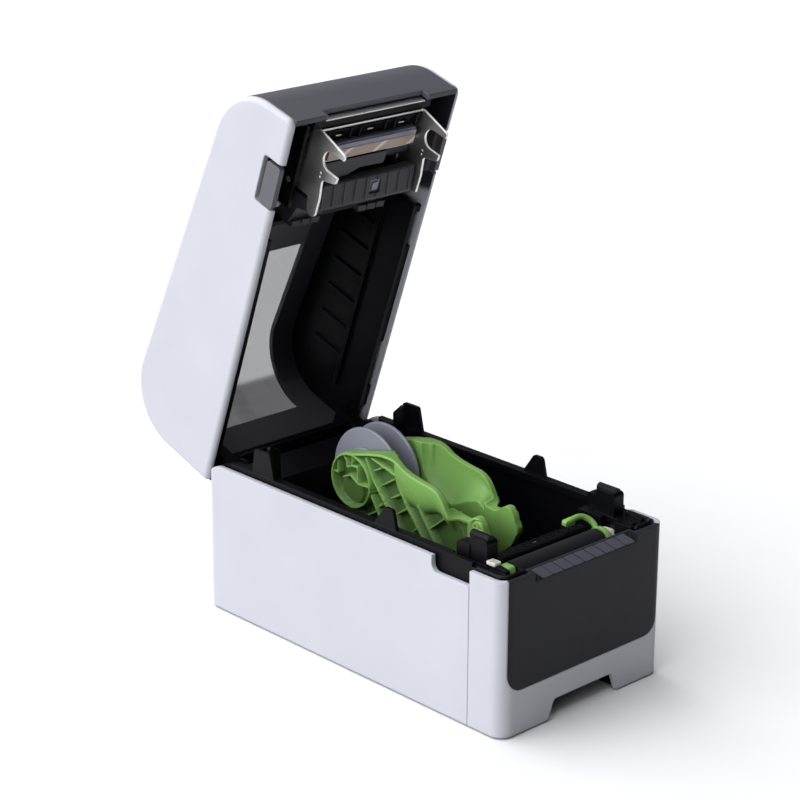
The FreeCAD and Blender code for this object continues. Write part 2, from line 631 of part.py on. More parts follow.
def cover_panel():
    """White side panel with a soft outer edge and a notch for the release tab."""
    panel = prism("x", cover_side(), (HALF - PANEL, HALF))
    rim = [e for e in panel.Edges if e.BoundBox.XMin > HALF - 0.01]
    panel = panel.makeFillet(2.4, rim)
    y0, y1, z0, z1 = TAB
    notch = [(y0 - 1.8, z0 - 5), (y0 - 1.8, z1 + 2.6, 2), (y1 + 0.8, z1 + 2.6, 2), (y1 + 0.8, z0 - 5)]
    return panel.cut(prism("x", notch, (HALF - PANEL - 1, HALF + 1)))


def cover_band():
    """Dark front and top of the cover with the tear recess, window opening and button holes."""
    recess = box((-BLADE_HALF - 0.5, BLADE_HALF + 0.5), (FRONT - 1, FRONT + 5), (MATE - 1, 82))
    holes = [on_top(rod("z", (x, 0), 4.0, (-6, 4))) for x in (-BUTTON_X, BUTTON_X)]
    light = on_top(rod("z", (0, 0), 1.2, (-6, 4)))
    return cover_skin().cut([recess, window_region(), light] + holes)


def top_height(y):
    """Height of the cover's sloping top line."""
    front_y, front_z = COVER_FRONT_TOP
    return front_z + (y - front_y) * (COVER_REAR_TOP - front_z) / (REAR - front_y)


TOP_SLOPE = math.degrees(math.atan2(COVER_REAR_TOP - COVER_FRONT_TOP[1], REAR - COVER_FRONT_TOP[0]))


def on_top(shape):
    """Set a piece drawn about its own origin on the cover's sloping top."""
    placed = shape.copy()
    placed.rotate(V(0, 0, 0), V(1, 0, 0), TOP_SLOPE)
    placed.translate(V(0, BUTTON_Y, top_height(BUTTON_Y)))
    return placed


def cover_window():
    """Smoked window that wraps over the rear edge of the cover."""
    return cover_skin().common(window_region())


def liner_wall():
    """Black inner side wall of the cover with stiffening ribs."""
    wire = outline("x", cover_side(), 46.0).makeOffset2D(-WALL - 0.3)
    wall = Part.Face(wire).extrude(V(2.2, 0, 0)).common(box((40, 50), (-36, 99.6), (80.6, 150)))
    ribs = []
    for i in range(6):
        low = -14 + 16 * i
        ribs.append(prism("x", [(low, 100), (low, 122), (low + 1.8, 122), (low + 1.8, 100)], (44.6, 46.2)))
    rail = box((44.2, 46.2), (-30, 84), (98, 100.4))
    skirt = [box((48.0, HALF - PANEL), limits, (79.9, 82.2)) for limits in ((-36, -32), (-12, 46), (74, 86))]
    foot = box((46.0, 48.2), (-36, 86), (79.9, 81))
    return joined([wall, rail, foot] + skirt + ribs)


def cover_liner():
    """Black inner walls of the cover, tied across, with the hinge ears below."""
    inner = 46.2
    tie = box((-inner, inner), (-36, -33.6), (93, 124))
    back = box((-inner, inner), (97.2, REAR - WALL), (80.6, 85.5))
    ear = joined([rod("x", (HINGE_Y, HINGE_Z), 4.6, (38.8, 45.2)),
                  box((38.8, 45.2), (HINGE_Y - 4.6, HINGE_Y + 4.6), (HINGE_Z, 88))])
    foot = box((38.8, 46.2), (HINGE_Y - 4.6, HINGE_Y + 4.6), (83, 88))
    liner = joined(both([liner_wall(), ear, foot]) + [tie, back])
    return liner.cut(rod("x", (HINGE_Y, HINGE_Z), PIN_R + 0.05, (-49, 49)))


def head_carrier():
    """Black block at the front of the cover: roof, nose, cheeks and wings."""
    roof = box((-48, 48), (-96.4, -36), (101, 103.4))
    nose = prism("x", [(-98.6, 84), (-94.4, 84), (-94.4, 101), (-96.4, 101), (-98.6, 94)], (-48, 48))
    chin = box((-36.8, 36.8), (-98.6, -94.4), (79.6, 84.2))
    cheek = box((34.5, 36.8), (-94.4, -50), (84, 101))
    wing = box((36.8, 47.5), (-56, -36), (91.4, 101))
    carrier = joined([roof, nose, chin] + both([cheek, wing]))
    shaft = rod("x", RELEASE_AXIS, 2.05, (-50, 50))
    pivots = rod("x", HEAD_PIVOT, PIN_R, (-40, 40))
    screws = both([rod("z", (42.0, -52.0), 1.5, (90, 99))])
    return carrier.cut([shaft, pivots] + screws)


RAMP_SIDE = [(-66.2, 73.4, 1.2), (-54.0, 71.6, 1), (-51.6, 73.4, 0.8), (-48.6, 84), (-38.5, 88), (-38.5, 101),
             (-56, 101), (-56, 80), (-66.2, 78)]


def label_ramp():
    """Black ramp behind the head: fine ribs, a lip, a recess and a toothed edge."""
    ramp = prism("x", RAMP_SIDE, (-RAMP_HALF, RAMP_HALF))
    rib_side = [(-65.4, 74), (-65.0, 72.7, 0.3), (-54.6, 71.1, 0.3), (-54.2, 74)]
    ribs = [prism("x", rib_side, (x - 0.35, x + 0.35)) for x in range(-28, 29, 7)]
    teeth = [prism("y", [(x, 86), (x + 4.6, 85.4), (x + 4.6, 96), (x, 96)], (-39.5, -36.2))
             for x in (-29, -23, -17, 13.4, 19.4, 25.4)]
    sensor = box((2.4, 9.4), (-63.4, -56.4), (70, 77))
    recess = box((-9, 11), (-50, -37), (76, 94))
    shaft = rod("x", RELEASE_AXIS, 2.05, (-50, 50))
    return joined([ramp] + ribs + teeth).cut([sensor, recess, shaft])


def media_sensor():
    """Grey sensor window in the ramp."""
    return joined([box((2.5, 9.3), (-63.3, -56.5), (73.4, 77)), box((4.2, 7.6), (-62, -58), (72.6, 73.4))])


def carrier_screws():
    """Screws through the wings of the carrier."""
    return Part.makeCompound([screw(x, -52.0, (89.9, 91.4), (91.4, 98.5)) for x in (-42.0, 42.0)])


def tear_blade():
    """Steel strip behind the lower edge of the cover's front."""
    return box((-BLADE_HALF, BLADE_HALF), (-99.2, -98.6), (78.4, 92))


def bracket_plate():
    """Hooked side plate with the notch that drops over the roller's bush."""
    side = [(-94, 77.6), (-90.6, 60, 1.2), (-74.6, 61.8, 1.6), (-72.0, 70.7, 2), (-62.5, 69.4, 1.5),
            (-53.0, 69.6, 1.2), (-51.6, 72.2, 0.8), (-53.2, 75.2, 1), (-60.2, 77, 1), (-60.2, 92, 3), (-94, 92, 3)]
    plate = prism("x", side, PLATE_X)
    half = BUSH_R + 0.65
    notch = [rod("x", ROLLER, half, PLATE_X),
             box(PLATE_X, (ROLLER[0] - half, ROLLER[0] + half), (50, ROLLER[1]))]
    return plate.cut(notch + [rod("x", HEAD_PIVOT, PIN_R + 0.05, PLATE_X)])


def head_bracket():
    """Bent sheet-steel channel that holds the print head."""
    x = (-PLATE_X[0], PLATE_X[0])
    top = box(x, (-94, -66), (HOLDER_TOP, 92))
    front = box(x, (-94, -92.8), (78.8, 92))
    lip = box(x, (-77.9, -77.1), (80.8, 92))
    return joined(both([bracket_plate()]) + [top, front, lip])


def head_guard():
    """Black moulding in the bracket with three windows at the front."""
    guard = prism("x", [(-92.6, 78), (-92.6, HOLDER_TOP), (-86.4, HOLDER_TOP), (-86.4, 80)], HOLDER_X)
    pockets = [prism("y", [(c - 2, 70), (c - 2, 86), (c + 2, 86), (c + 2, 70)], (-91.2, -87.6))
               for c in TAB_CENTRES]
    ribs = [box((c - 0.4, c + 0.4), (-92.0, -86.8), (77.6, 82)) for c in (-28, -14, -8, 8, 14, 28)]
    bridge = box(HOLDER_X, (-92.6, -78), (86.5, HOLDER_TOP))
    return joined([guard, bridge] + ribs).cut(pockets)


def ribbon_bar():
    """Black bar behind the heater with a rounded lower edge."""
    bar = [(-77.0, HOLDER_TOP), (-77.0, 82, 2), (-70, 81.4, 2), (-67, 84, 1), (-67, HOLDER_TOP)]
    lobe = [(-31.7, -76.6), (11.5, -76.6), (11.5, -70, 1.5), (-4, -70.4, 3), (-12, -67.4, 2), (-17, -67.4, 2),
            (-25, -72, 2), (-31.7, -72.5)]
    return joined([prism("x", bar, HOLDER_X), prism("z", lobe, (76, 84))])


def guard_tabs():
    """Bright steel tongues in the windows of the guard."""
    return Part.makeCompound([box((c - 1.9, c + 1.9), (-89.0, -88.4), (79.4, 86)) for c in TAB_CENTRES])


def thermal_head():
    """Ceramic strip with the raised heater line."""
    strip = box((-27.5, 27.5), (-85.7, -78.3), (75.4, 77.0))
    bead = prism("x", [(-83.8, 75.6), (-83.4, 75.15, 0.1), (-82.6, 75.15, 0.1), (-82.2, 75.6)], (-26, 26))
    return joined([strip, bead])


def head_sink():
    """Aluminium plate behind the ceramic strip."""
    fins = [box((-28, 28), (y, y + 1.2), (79.0, 86.5)) for y in (-85.8, -83.4, -81.0)]
    return joined([box((-28, 28), (-86.0, -78.2), (77.0, 79.0))] + fins)


def head_pivots():
    """Two short pins that let the bracket tilt."""
    return pair(rod("x", HEAD_PIVOT, PIN_R, (31.0, 36.8)))


def head_spring():
    """Leaf spring between the carrier's roof and the bracket."""
    leaf = [(-90, 101), (-90, 100.4), (-84, 100.4), (-78, 93.8, 2), (-70, 93.8, 2), (-64, 97), (-64.4, 97.4),
            (-70, 94.4, 2), (-77.6, 94.4, 2), (-83.6, 101)]
    return Part.makeCompound([prism("x", leaf, (c - 5, c + 5)) for c in (-16, 16)])


def release_shaft():
    return rod("x", RELEASE_AXIS, 2.0, (-49.5, 49.5))


def release_lever():
    """Grey side tab on an arm that swings with the release shaft."""
    y0, y1, z0, z1 = TAB
    tab = prism("x", [(y0, z0, 1.5), (y0, z1, 1.5), (y1, z1, 1.5), (y1, z0, 1.5)], (HALF - PANEL + 0.1, HALF - 0.2))
    bridge = box((50.4, HALF - PANEL + 0.1), (y0 + 1.5, y1 - 1.5), (81.5, 86.5))
    arm = prism("x", [(y0 + 1, z0 + 3.4, 1), (y0 + 1, z1, 1), (-62, z1 + 1, 2), (-47, 101.5, 3), (-40, 101.5, 3),
                      (-40, 92.5, 3), (-50, 90, 3), (y1 + 1, z0 + 3.4, 1)], (48.6, 50.6))
    return joined([tab, bridge, arm]).cut(rod("x", RELEASE_AXIS, 2.0, (40, 60)))


def button():
    """Round push button with a stem through the cover's top."""
    cap = Part.makeCone(6.2, 5.8, 1.4, V(0, 0, 1.0), V(0, 0, 1))
    return joined([cap, rod("z", (0, 0), 3.6, (-4.4, 1.2))])


def power_button():
    return on_top(button().translated(V(-BUTTON_X, 0, 0)))


def feed_button():
    return on_top(button().translated(V(BUTTON_X, 0, 0)))


def status_light():
    """Light pipe between the buttons."""
    return on_top(rod("z", (0, 0), 1.15, (-6.2, 0.3)))


def button_board():
    """Small switch board under the buttons, on two posts."""
    board = box((-24, 24), (-7, 7), (-7.8, -6.2))
    posts = [rod("z", (x, 0), 2.0, (-6.2, -WALL)) for x in (-21.5, 21.5)]
    switches = [box((x - 2, x + 2), (-2, 2), (-6.2, -5.6)) for x in (-BUTTON_X, BUTTON_X)]
    return on_top(joined([board] + posts + switches))


BASE_PIECES = {
    "base_cover": base_cover, "front_bezel": front_bezel, "front_panel": front_panel, "inner_frame": inner_frame,
    "front_cradle": front_cradle, "rear_shelf": rear_shelf,
    "bottom_plate": bottom_plate, "rubber_feet": rubber_feet, "base_screws": base_screws,
    "paper_guide": paper_guide, "gap_sensor": gap_sensor, "drive_motor": drive_motor, "main_board": main_board,
    "dc_inlet": dc_inlet, "usb_port": usb_port, "idler_axle": idler_axle, "platen_bearings": platen_bearings,
    "hinge_pin_right": lambda: hinge_pin(1), "hinge_pin_left": lambda: hinge_pin(-1),
    "platen_shaft": platen_shaft, "platen_sleeve": platen_sleeve, "platen_gear": platen_gear,
    "idler_gear": idler_gear, "motor_pinion": motor_pinion, "platen_lock_right": platen_lock_right,
    "platen_lock_left": platen_lock_left, "guide_arm_right": guide_arm, "guide_arm_left": lambda: flip(guide_arm()),
    "guide_rack_right": lambda: rack(1), "guide_rack_left": lambda: rack(-1), "guide_pinion": guide_pinion,
    "spool_disc_right": spool_disc, "spool_disc_left": lambda: flip(spool_disc()),
}

COVER_PIECES = {
    "cover_side_right": cover_panel, "cover_side_left": lambda: flip(cover_panel()), "cover_band": cover_band,
    "cover_window": cover_window, "cover_liner": cover_liner, "head_carrier": head_carrier,
    "label_ramp": label_ramp, "media_sensor": media_sensor, "carrier_screws": carrier_screws,
    "tear_blade": tear_blade, "head_bracket": head_bracket, "head_guard": head_guard, "ribbon_bar": ribbon_bar,
    "guard_tabs": guard_tabs, "thermal_head": thermal_head, "head_sink": head_sink, "head_pivots": head_pivots,
    "head_spring": head_spring, "release_shaft": release_shaft, "release_lever_right": release_lever,
    "release_lever_left": lambda: flip(release_lever()), "power_button": power_button, "feed_button": feed_button,
    "status_light": status_light, "button_board": button_board,
}


def main():
    os.makedirs("parts", exist_ok=True)
    for name, make in BASE_PIECES.items():
        make().exportStep("parts/" + name + ".step")
    for name, make in COVER_PIECES.items():
        swing(make()).exportStep("parts/" + name + ".step")


main()
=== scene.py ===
import json
import math

import bmesh
import bpy
import numpy as np
from mathutils import Matrix, Vector


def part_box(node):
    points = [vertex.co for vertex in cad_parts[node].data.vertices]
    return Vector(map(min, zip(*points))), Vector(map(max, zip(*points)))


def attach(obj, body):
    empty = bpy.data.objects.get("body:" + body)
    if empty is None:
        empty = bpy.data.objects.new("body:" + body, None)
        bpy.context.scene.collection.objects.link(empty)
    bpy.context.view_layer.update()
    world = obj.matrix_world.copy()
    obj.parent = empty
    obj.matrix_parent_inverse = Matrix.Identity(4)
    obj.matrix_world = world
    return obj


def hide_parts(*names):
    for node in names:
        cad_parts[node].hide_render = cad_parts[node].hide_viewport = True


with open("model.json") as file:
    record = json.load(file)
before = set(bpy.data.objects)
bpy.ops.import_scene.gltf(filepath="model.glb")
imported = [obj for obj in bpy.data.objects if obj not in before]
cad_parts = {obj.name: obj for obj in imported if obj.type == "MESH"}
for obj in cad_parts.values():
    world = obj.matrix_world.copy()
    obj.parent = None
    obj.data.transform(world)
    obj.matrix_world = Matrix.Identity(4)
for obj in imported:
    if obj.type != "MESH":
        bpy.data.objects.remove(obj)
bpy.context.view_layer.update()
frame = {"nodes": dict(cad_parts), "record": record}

bl_info = {
    "name": "Open receipt printer",
    "version": (1, 0, 0),
    "blender": (4, 5, 0),
    "location": "View3D > Sidebar > Printer",
    "description": "Finishes, small pieces and a studio for a label printer with its cover open",
    "category": "Object",
}

NODES = frame["nodes"]
SLOT_OF = {part["node"]: part["material_slot"] for part in frame["record"]["subparts"]}
SIDES = (("left", -1), ("right", 1))

# The cover stands open: OPENING turns the shut cover there, and INWARD then points into the casing
HINGE = next(joint for joint in frame["record"]["behaviour"]["joints"] if joint["name"] == "cover_hinge")
OPENING = Matrix.Rotation(math.radians(HINGE["range_deg"][0]), 3, "X")
INWARD = OPENING @ Vector((0.0, 0.0, -1.0))


# Node maths

class Value:
    """A socket that takes part in expressions: each operator adds one Math node."""

    def __init__(self, paint, socket):
        self.paint = paint
        self.socket = socket

    def __add__(self, other):
        return self.paint.maths("ADD", self, other)

    def __sub__(self, other):
        return self.paint.maths("SUBTRACT", self, other)

    def __rsub__(self, other):
        return self.paint.maths("SUBTRACT", other, self)

    def __mul__(self, other):
        return self.paint.maths("MULTIPLY", self, other)

    def __truediv__(self, other):
        return self.paint.maths("DIVIDE", self, other)

    def __pow__(self, other):
        return self.paint.maths("POWER", self, other)

    def __abs__(self):
        return self.paint.maths("ABSOLUTE", self)

    __radd__ = __add__
    __rmul__ = __mul__


class Paint:
    """A material whose nodes are added by node() and joined to one Principled shader."""

    def __init__(self, name):
        self.material = bpy.data.materials.new(name)
        self.material.use_nodes = True
        self.tree = self.material.node_tree
        self.tree.nodes.clear()
        out = self.tree.nodes.new("ShaderNodeOutputMaterial")
        self.shader = self.tree.nodes.new("ShaderNodeBsdfPrincipled")
        self.tree.links.new(self.shader.outputs[0], out.inputs[0])
        self.place = self.node("ShaderNodeTexCoord", output="Object")

    def feed(self, socket, value):
        if isinstance(value, Value):
            self.tree.links.new(value.socket, socket)
        else:
            socket.default_value = value

    def node(self, kind, settings=None, values=None, output=0):
        """Any node: settings first, then the values or links of its sockets."""
        made = self.tree.nodes.new(kind)
        for key, setting in (settings or {}).items():
            if key == "stops":
                ramp = made.color_ramp.elements
                while len(ramp) < len(setting):
                    ramp.new(0.5)
                for stop, (at, colour) in zip(ramp, setting):
                    stop.position = at
                    stop.color = colour
            else:
                setattr(made, key, setting)
        for key, value in (values or {}).items():
            self.feed(made.inputs[key], value)
        return Value(self, made.outputs[output])

    def set(self, **values):
        """Shader sockets by name, with _ for a space."""
        for key, value in values.items():
            self.feed(self.shader.inputs[key.replace("_", " ")], value)

    def maths(self, operation, *values):
        return self.node("ShaderNodeMath", {"operation": operation}, dict(enumerate(values)))

    def dot(self, a, b):
        """How far two directions agree: 1 along, 0 across and -1 against each other."""
        return self.node("ShaderNodeVectorMath", {"operation": "DOT_PRODUCT"}, {0: a, 1: b}, "Value")

    def axis(self, index, vector=None):
        """One of the three parts of a vector, or of the Object coordinates in metres."""
        return self.node("ShaderNodeSeparateXYZ", None, {0: vector or self.place}, index)

    def share(self, index, node):
        """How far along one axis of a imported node's box: 0 at its low side and 1 at its high side."""
        low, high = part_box(node)
        return (self.axis(index) - low[index]) / (high[index] - low[index])

    def stretched(self, scale):
        """Object coordinates, scaled along each axis."""
        return self.node("ShaderNodeMapping", None, {"Vector": self.place, "Scale": scale})

    def noise(self, scale, detail=2.0, rough=0.5, vector=None):
        values = {"Vector": vector or self.place, "Scale": scale, "Detail": detail, "Roughness": rough}
        return self.node("ShaderNodeTexNoise", None, values)

    def ramp(self, value, stops):
        grey = [(at, (v, v, v, 1)) for at, v in stops]
        return self.node("ShaderNodeValToRGB", {"stops": grey}, {0: value})

    def rise(self, length, start, end, span=0.1, nought=0.0):
        """0 up to the start and 1 from the end on, in metres: a ramp over the span, with 0 m at nought."""
        along = length * (1.0 / span)
        if nought:
            along = along + nought
        return self.ramp(along, sorted([(start / span + nought, 0), (end / span + nought, 1)]))

    def mix(self, factor, a, b):
        """Two colours by a factor."""
        return self.node("ShaderNodeMix", {"data_type": "RGBA"}, {"Factor": factor, 6: a, 7: b}, 2)

    def shades(self, factor, colour, dark, light):
        """A colour that varies between a darker and a lighter tone of itself."""
        return self.mix(factor, tone(colour, dark), tone(colour, light))

    def own_normal(self):
        """Normal in the object's own frame."""
        return self.node("ShaderNodeTexCoord", output="Normal")

    def true_normal(self):
        """Normal in the scene."""
        return self.node("ShaderNodeNewGeometry", output="Normal")

    def soft_normal(self, radius):
        """Normal with the edges rounded by a radius."""
        return self.node("ShaderNodeBevel", {"samples": 4}, {"Radius": radius})

    def bump(self, height, strength, distance, radius=None):
        """A bump, over edges that are rounded where a radius is given."""
        values = {"Height": height, "Strength": strength, "Distance": distance}
        if radius:
            values["Normal"] = self.soft_normal(radius)
        return self.node("ShaderNodeBump", None, values)

    def edges(self, radius):
        """1 on sharp edges and 0 on flats: the rounded normal against the true one."""
        return self.ramp(1 - self.dot(self.soft_normal(radius), self.true_normal()), [(0.01, 0), (0.25, 1)])

    def rubbed(self, radius):
        """Sharp edges, rubbed more in some places than in others."""
        return self.edges(radius) * self.ramp(self.noise(70.0, 3.0), [(0.3, 0.25), (0.7, 1)])


def tone(colour, factor):
    """A colour made lighter or darker."""
    return tuple(min(1.0, c * factor) for c in colour[:3]) + (1.0,)


# Finishes: relief in metres and the refraction of the mouldings

GRAIN = 0.0002
SCRATCH = 0.0001
PLASTIC_IOR = 1.5


def moulded(name, colour, rough, grain, depth, edge, lift, gloss=0.5, shade=None):
    """Moulded plastic: eroded grain, faint flow clouds, dust and paler handled edges, under any shade."""
    p = Paint(name)
    clouds = p.noise(28.0, 3.0)
    fine = p.noise(grain, 2.0, 0.6)
    dust = p.ramp(p.noise(160.0, 5.0, 0.65), [(0.55, 0), (0.8, 1)])
    worn = p.rubbed(edge)
    body = p.shades(clouds, colour, 0.94, 1.06)
    body = p.mix(dust * 0.18, body, tone(colour, lift))
    body = p.mix(worn * 0.5, body, tone(colour, lift))
    p.set(Base_Color=shade(p, body) if shade else body)
    p.set(Roughness=rough + (clouds - 0.5) * 0.12 + dust * 0.08 - worn * 0.06)
    p.set(Normal=p.bump(fine, depth, GRAIN, edge), IOR=PLASTIC_IOR, Specular_IOR_Level=gloss)
    return p.material


def white_shell(colours):
    """Pale cool white casing, dark where the front face laps over it and on the inside beside the head."""
    dark = tone(colours.face, 1.5)

    def shade(p, body):
        x, y, z = (p.axis(index) for index in range(3))
        between = p.rise(abs(x), 0.0497, 0.0493)
        front = p.rise(y, -0.0997, -0.0999, -0.2)
        top = p.rise(z, 0.0760, 0.0765)
        body = p.mix(between * front * top, body, dark)
        above = p.rise(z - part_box("release_lever_right")[0].z, -0.0015, 0.0015, 0.05, 0.5)
        inner = p.rise(p.axis(0, p.own_normal()) * x, -0.025, -0.035, -0.05)
        return p.mix(above * inner, body, dark)

    return moulded("white_shell", colours.shell, rough=0.46, grain=1500.0, depth=0.12,
                   edge=0.0012, lift=1.04, shade=shade)


def charcoal_cover(colours):
    """Charcoal casing of the cover, paler on the inside, and black there beside the window."""
    p = Paint("charcoal_cover")
    edge = 0.0008
    clouds = p.noise(28.0, 3.0)
    fine = p.noise(1300.0, 2.0, 0.6)
    worn = p.rubbed(edge)
    inner = p.ramp(p.dot(p.own_normal(), INWARD), [(0.3, 0), (0.5, 1)])
    beside = p.rise(abs(p.axis(0)), 0.03225, 0.03275, 0.05)
    body = p.shades(clouds, colours.cover, 0.94, 1.06)
    body = p.mix(worn * 0.5, body, tone(colours.cover, 1.5))
    body = p.mix(inner, body, tone(colours.cover, 1.9))
    p.set(Base_Color=p.mix(inner * beside, body, tone(colours.cover, 0.7)))
    p.set(Roughness=0.5 + (clouds - 0.5) * 0.12 - worn * 0.06)
    p.set(Normal=p.bump(fine, 0.22, GRAIN, edge), IOR=PLASTIC_IOR, Specular_IOR_Level=0.4)
    return p.material


def dark_face(colours):
    """Near black front face."""
    return moulded("dark_face", colours.face, rough=0.5, grain=1300.0, depth=0.2,
                   edge=0.0006, lift=1.9, gloss=0.2)


def black_frame(colours):
    """Semi-gloss black moulding with rubbed edges."""
    return moulded("black_frame", colours.frame, rough=0.34, grain=900.0, depth=0.1,
                   edge=0.0005, lift=3.0, gloss=0.09)


def satin_black(colours):
    """Satin dark grey of the ramp and the bar behind the heater."""
    return moulded("satin_black", colours.satin, rough=0.46, grain=1100.0, depth=0.14,
                   edge=0.0005, lift=2.4, gloss=0.3)


def matt_black(colours):
    """Matt black of the ribbed ramp behind the roller."""
    return moulded("matt_black", colours.frame, rough=0.6, grain=900.0, depth=0.1,
                   edge=0.0005, lift=1.2, gloss=0.05)


def band_lit_grey(colours):
    """Satin grey of the tear band's tiles, paler than the face as painted light on their upward faces."""
    return moulded("band_lit_grey", colours.band, rough=0.5, grain=1300.0, depth=0.14,
                   edge=0.0004, lift=1.5, gloss=0.14)


def tab_grey(colours):
    """Satin grey tab."""
    return moulded("tab_grey", colours.tab, rough=0.42, grain=1200.0, depth=0.15,
                   edge=0.0006, lift=1.5)


def grey_disc(colours):
    """Grey disc with faint turned rings around the hub's axis."""
    p = Paint("grey_disc")
    edge = 0.0006
    low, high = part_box("spool_disc_left")
    hub = (low + high) / 2
    y = p.axis(1) - hub.y
    z = p.axis(2) - hub.z
    rings = p.maths("SINE", (y * y + z * z) ** 0.5 * 9000.0)
    clouds = p.noise(60.0, 3.0)
    body = p.shades(clouds, colours.disc, 0.93, 1.07)
    p.set(Base_Color=p.mix(p.edges(edge) * 0.4, body, tone(colours.disc, 1.5)))
    p.set(Roughness=0.36 + clouds * 0.1, Normal=p.bump(rings, 0.06, SCRATCH, edge))
    return p.material


def green_lever(colours):
    """Satin green moulding with a little light inside it and paler edges, with painted shade in its hollows
    and towards the floor.
    """
    p = Paint("green_lever")
    edge = 0.0007
    x, y, z = (p.axis(index) for index in range(3))
    clouds = p.noise(34.0, 3.0)
    fine = p.noise(1100.0, 2.0)
    # Masks for painted shade: outward faces sunk well below the rim, behind the lug
    outer = p.rise(p.axis(0, p.true_normal()) * x, 0.003, 0.007, 0.01)
    sunk = p.rise(abs(x), 0.0164, 0.0126, 0.02)
    behind_lug = p.rise(y, -0.039, -0.037, 0.1, 0.5)
    body = p.shades(clouds, colours.guide, 0.9, 1.1)
    body = p.mix(sunk * outer * behind_lug * 0.85, body, tone(colours.guide, 0.25))
    # Painted shade: darker towards the floor
    body = p.mix(p.rise(z, 0.076, 0.056) * 0.75, body, tone(colours.guide, 0.2))
    p.set(Base_Color=p.mix(p.edges(edge) * 0.6, body, tone(colours.guide, 1.7)))
    p.set(Roughness=0.42 + clouds * 0.1, Normal=p.bump(fine, 0.06, GRAIN, edge), Specular_IOR_Level=0.32)
    p.set(Subsurface_Weight=0.06, Subsurface_Radius=(0.002, 0.003, 0.001), Subsurface_Scale=0.6)
    return p.material


def smoked_window(colours):
    """Smoked clear plastic with fine dust and polish marks, denser along its low edge as painted shade."""
    p = Paint("smoked_window")
    dust = p.ramp(p.noise(420.0, 4.0, 0.7), [(0.58, 0), (0.75, 1)])
    marks = p.ramp(p.noise(90.0, 2.0, 0.5, p.stretched((1, 0.06, 0.06))), [(0.56, 0), (0.66, 1)])
    # Even smoke, and painted shade: more opaque along the low edge, standing in for a dark table seen through
    # it
    smoke_and_shade = p.ramp(p.share(2, "cover_window"), [(0.15, 0.68), (0.17, 0.42)])
    p.set(Base_Color=p.mix(dust * 0.3, colours.window, tone(colours.window, 1.6)))
    p.set(Alpha=smoke_and_shade + dust * 0.03 + marks * 0.03, Roughness=0.06 + dust * 0.2 + marks * 0.08)
    return p.material


def rubber_black(colours):
    """Ground rubber: fine lengthwise grinding marks, matt, with a little lint."""
    p = Paint("rubber_black")
    ground = p.noise(700.0, 3.0, 0.6, p.stretched((0.15, 1, 1)))
    lint = p.ramp(p.noise(900.0, 2.0), [(0.66, 0), (0.74, 1)])
    p.set(Base_Color=p.mix(lint * 0.4, colours.rubber, tone(colours.rubber, 4.0)))
    p.set(Roughness=0.62 + ground * 0.2, Normal=p.bump(ground, 0.25, GRAIN), Specular_IOR_Level=0.16)
    return p.material


def steel(colours):
    """Rolled sheet steel: fine lines along X, faint stains, and pale cut edges on the side plates and along
    sharp edges, bare metal with a painted highlight.
    """
    p = Paint("steel")
    lines = p.noise(900.0, 3.0, 0.6, p.stretched((0.04, 1, 1)))
    stain = p.noise(45.0, 3.0)
    side_plate = p.rise(abs(p.axis(0)), 0.03125, 0.03175, 0.05)
    across = p.axis(0, p.true_normal())
    sheared_and_glint = p.ramp(across * across, [(0.2, 1), (0.6, 0)]) * side_plate
    # Pale edges: partly bare cut metal, partly a painted highlight
    bright = p.maths("MAXIMUM", sheared_and_glint, p.edges(0.0005) * 0.8)
    body = p.shades(stain, colours.steel, 0.85, 1.15)
    p.set(Base_Color=p.mix(bright, body, tone(colours.steel, 1.6)), Metallic=1.0 - bright * 0.6)
    p.set(Roughness=0.24 + lines * 0.16 + stain * 0.06 + bright * 0.1)
    p.set(Normal=p.bump(lines, 0.05, SCRATCH, 0.0004))
    return p.material


def alloy(colours):
    """Extruded plate with drawn lines along X."""
    p = Paint("alloy")
    lines = p.noise(600.0, 3.0, 0.6, p.stretched((0.03, 1, 1)))
    p.set(Base_Color=p.shades(lines, colours.alloy, 0.8, 1.1), Metallic=1.0)
    p.set(Roughness=0.34 + lines * 0.2, Normal=p.bump(lines, 0.1, SCRATCH))
    return p.material


def ceramic(colours):
    """Glazed strip: lavender at the front, copper behind it, slanting pale glints and fine cross tracks."""
    p = Paint("ceramic")
    across = p.share(2, "thermal_head")
    copper = p.ramp(across, [(0.55, 1), (0.62, 0)])
    slant = p.maths("FRACT", p.axis(0) * 46.0 - across * 0.5)
    glint = p.ramp(slant, [(0.0, 0), (0.04, 1), (0.12, 1), (0.2, 0)]) * copper
    wave = {"Vector": p.place, "Scale": 900.0, "Distortion": 0.4}
    tracks = p.node("ShaderNodeTexWave", {"bands_direction": "X"}, wave)
    glaze = p.shades(tracks, colours.ceramic, 0.86, 1.1)
    foil = p.shades(tracks, colours.heater, 0.85, 1.15)
    p.set(Base_Color=p.mix(glint * 0.7, p.mix(copper, glaze, foil), colours.glint))
    p.set(Roughness=0.14 + p.noise(200.0, 3.0) * 0.1, Coat_Weight=0.3 + copper * 0.2)
    return p.material


def gear_white(colours):
    """Natural acetal with grease in the hollows."""
    p = Paint("gear_white")
    grease = p.ramp(p.noise(240.0, 4.0), [(0.48, 0), (0.62, 1)])
    p.set(Base_Color=p.mix(grease * 0.5, colours.gear, tone(colours.gear, 0.55)))
    p.set(Roughness=0.42 - grease * 0.24, Normal=p.bump(p.noise(900.0), 0.05, GRAIN, 0.0002))
    return p.material


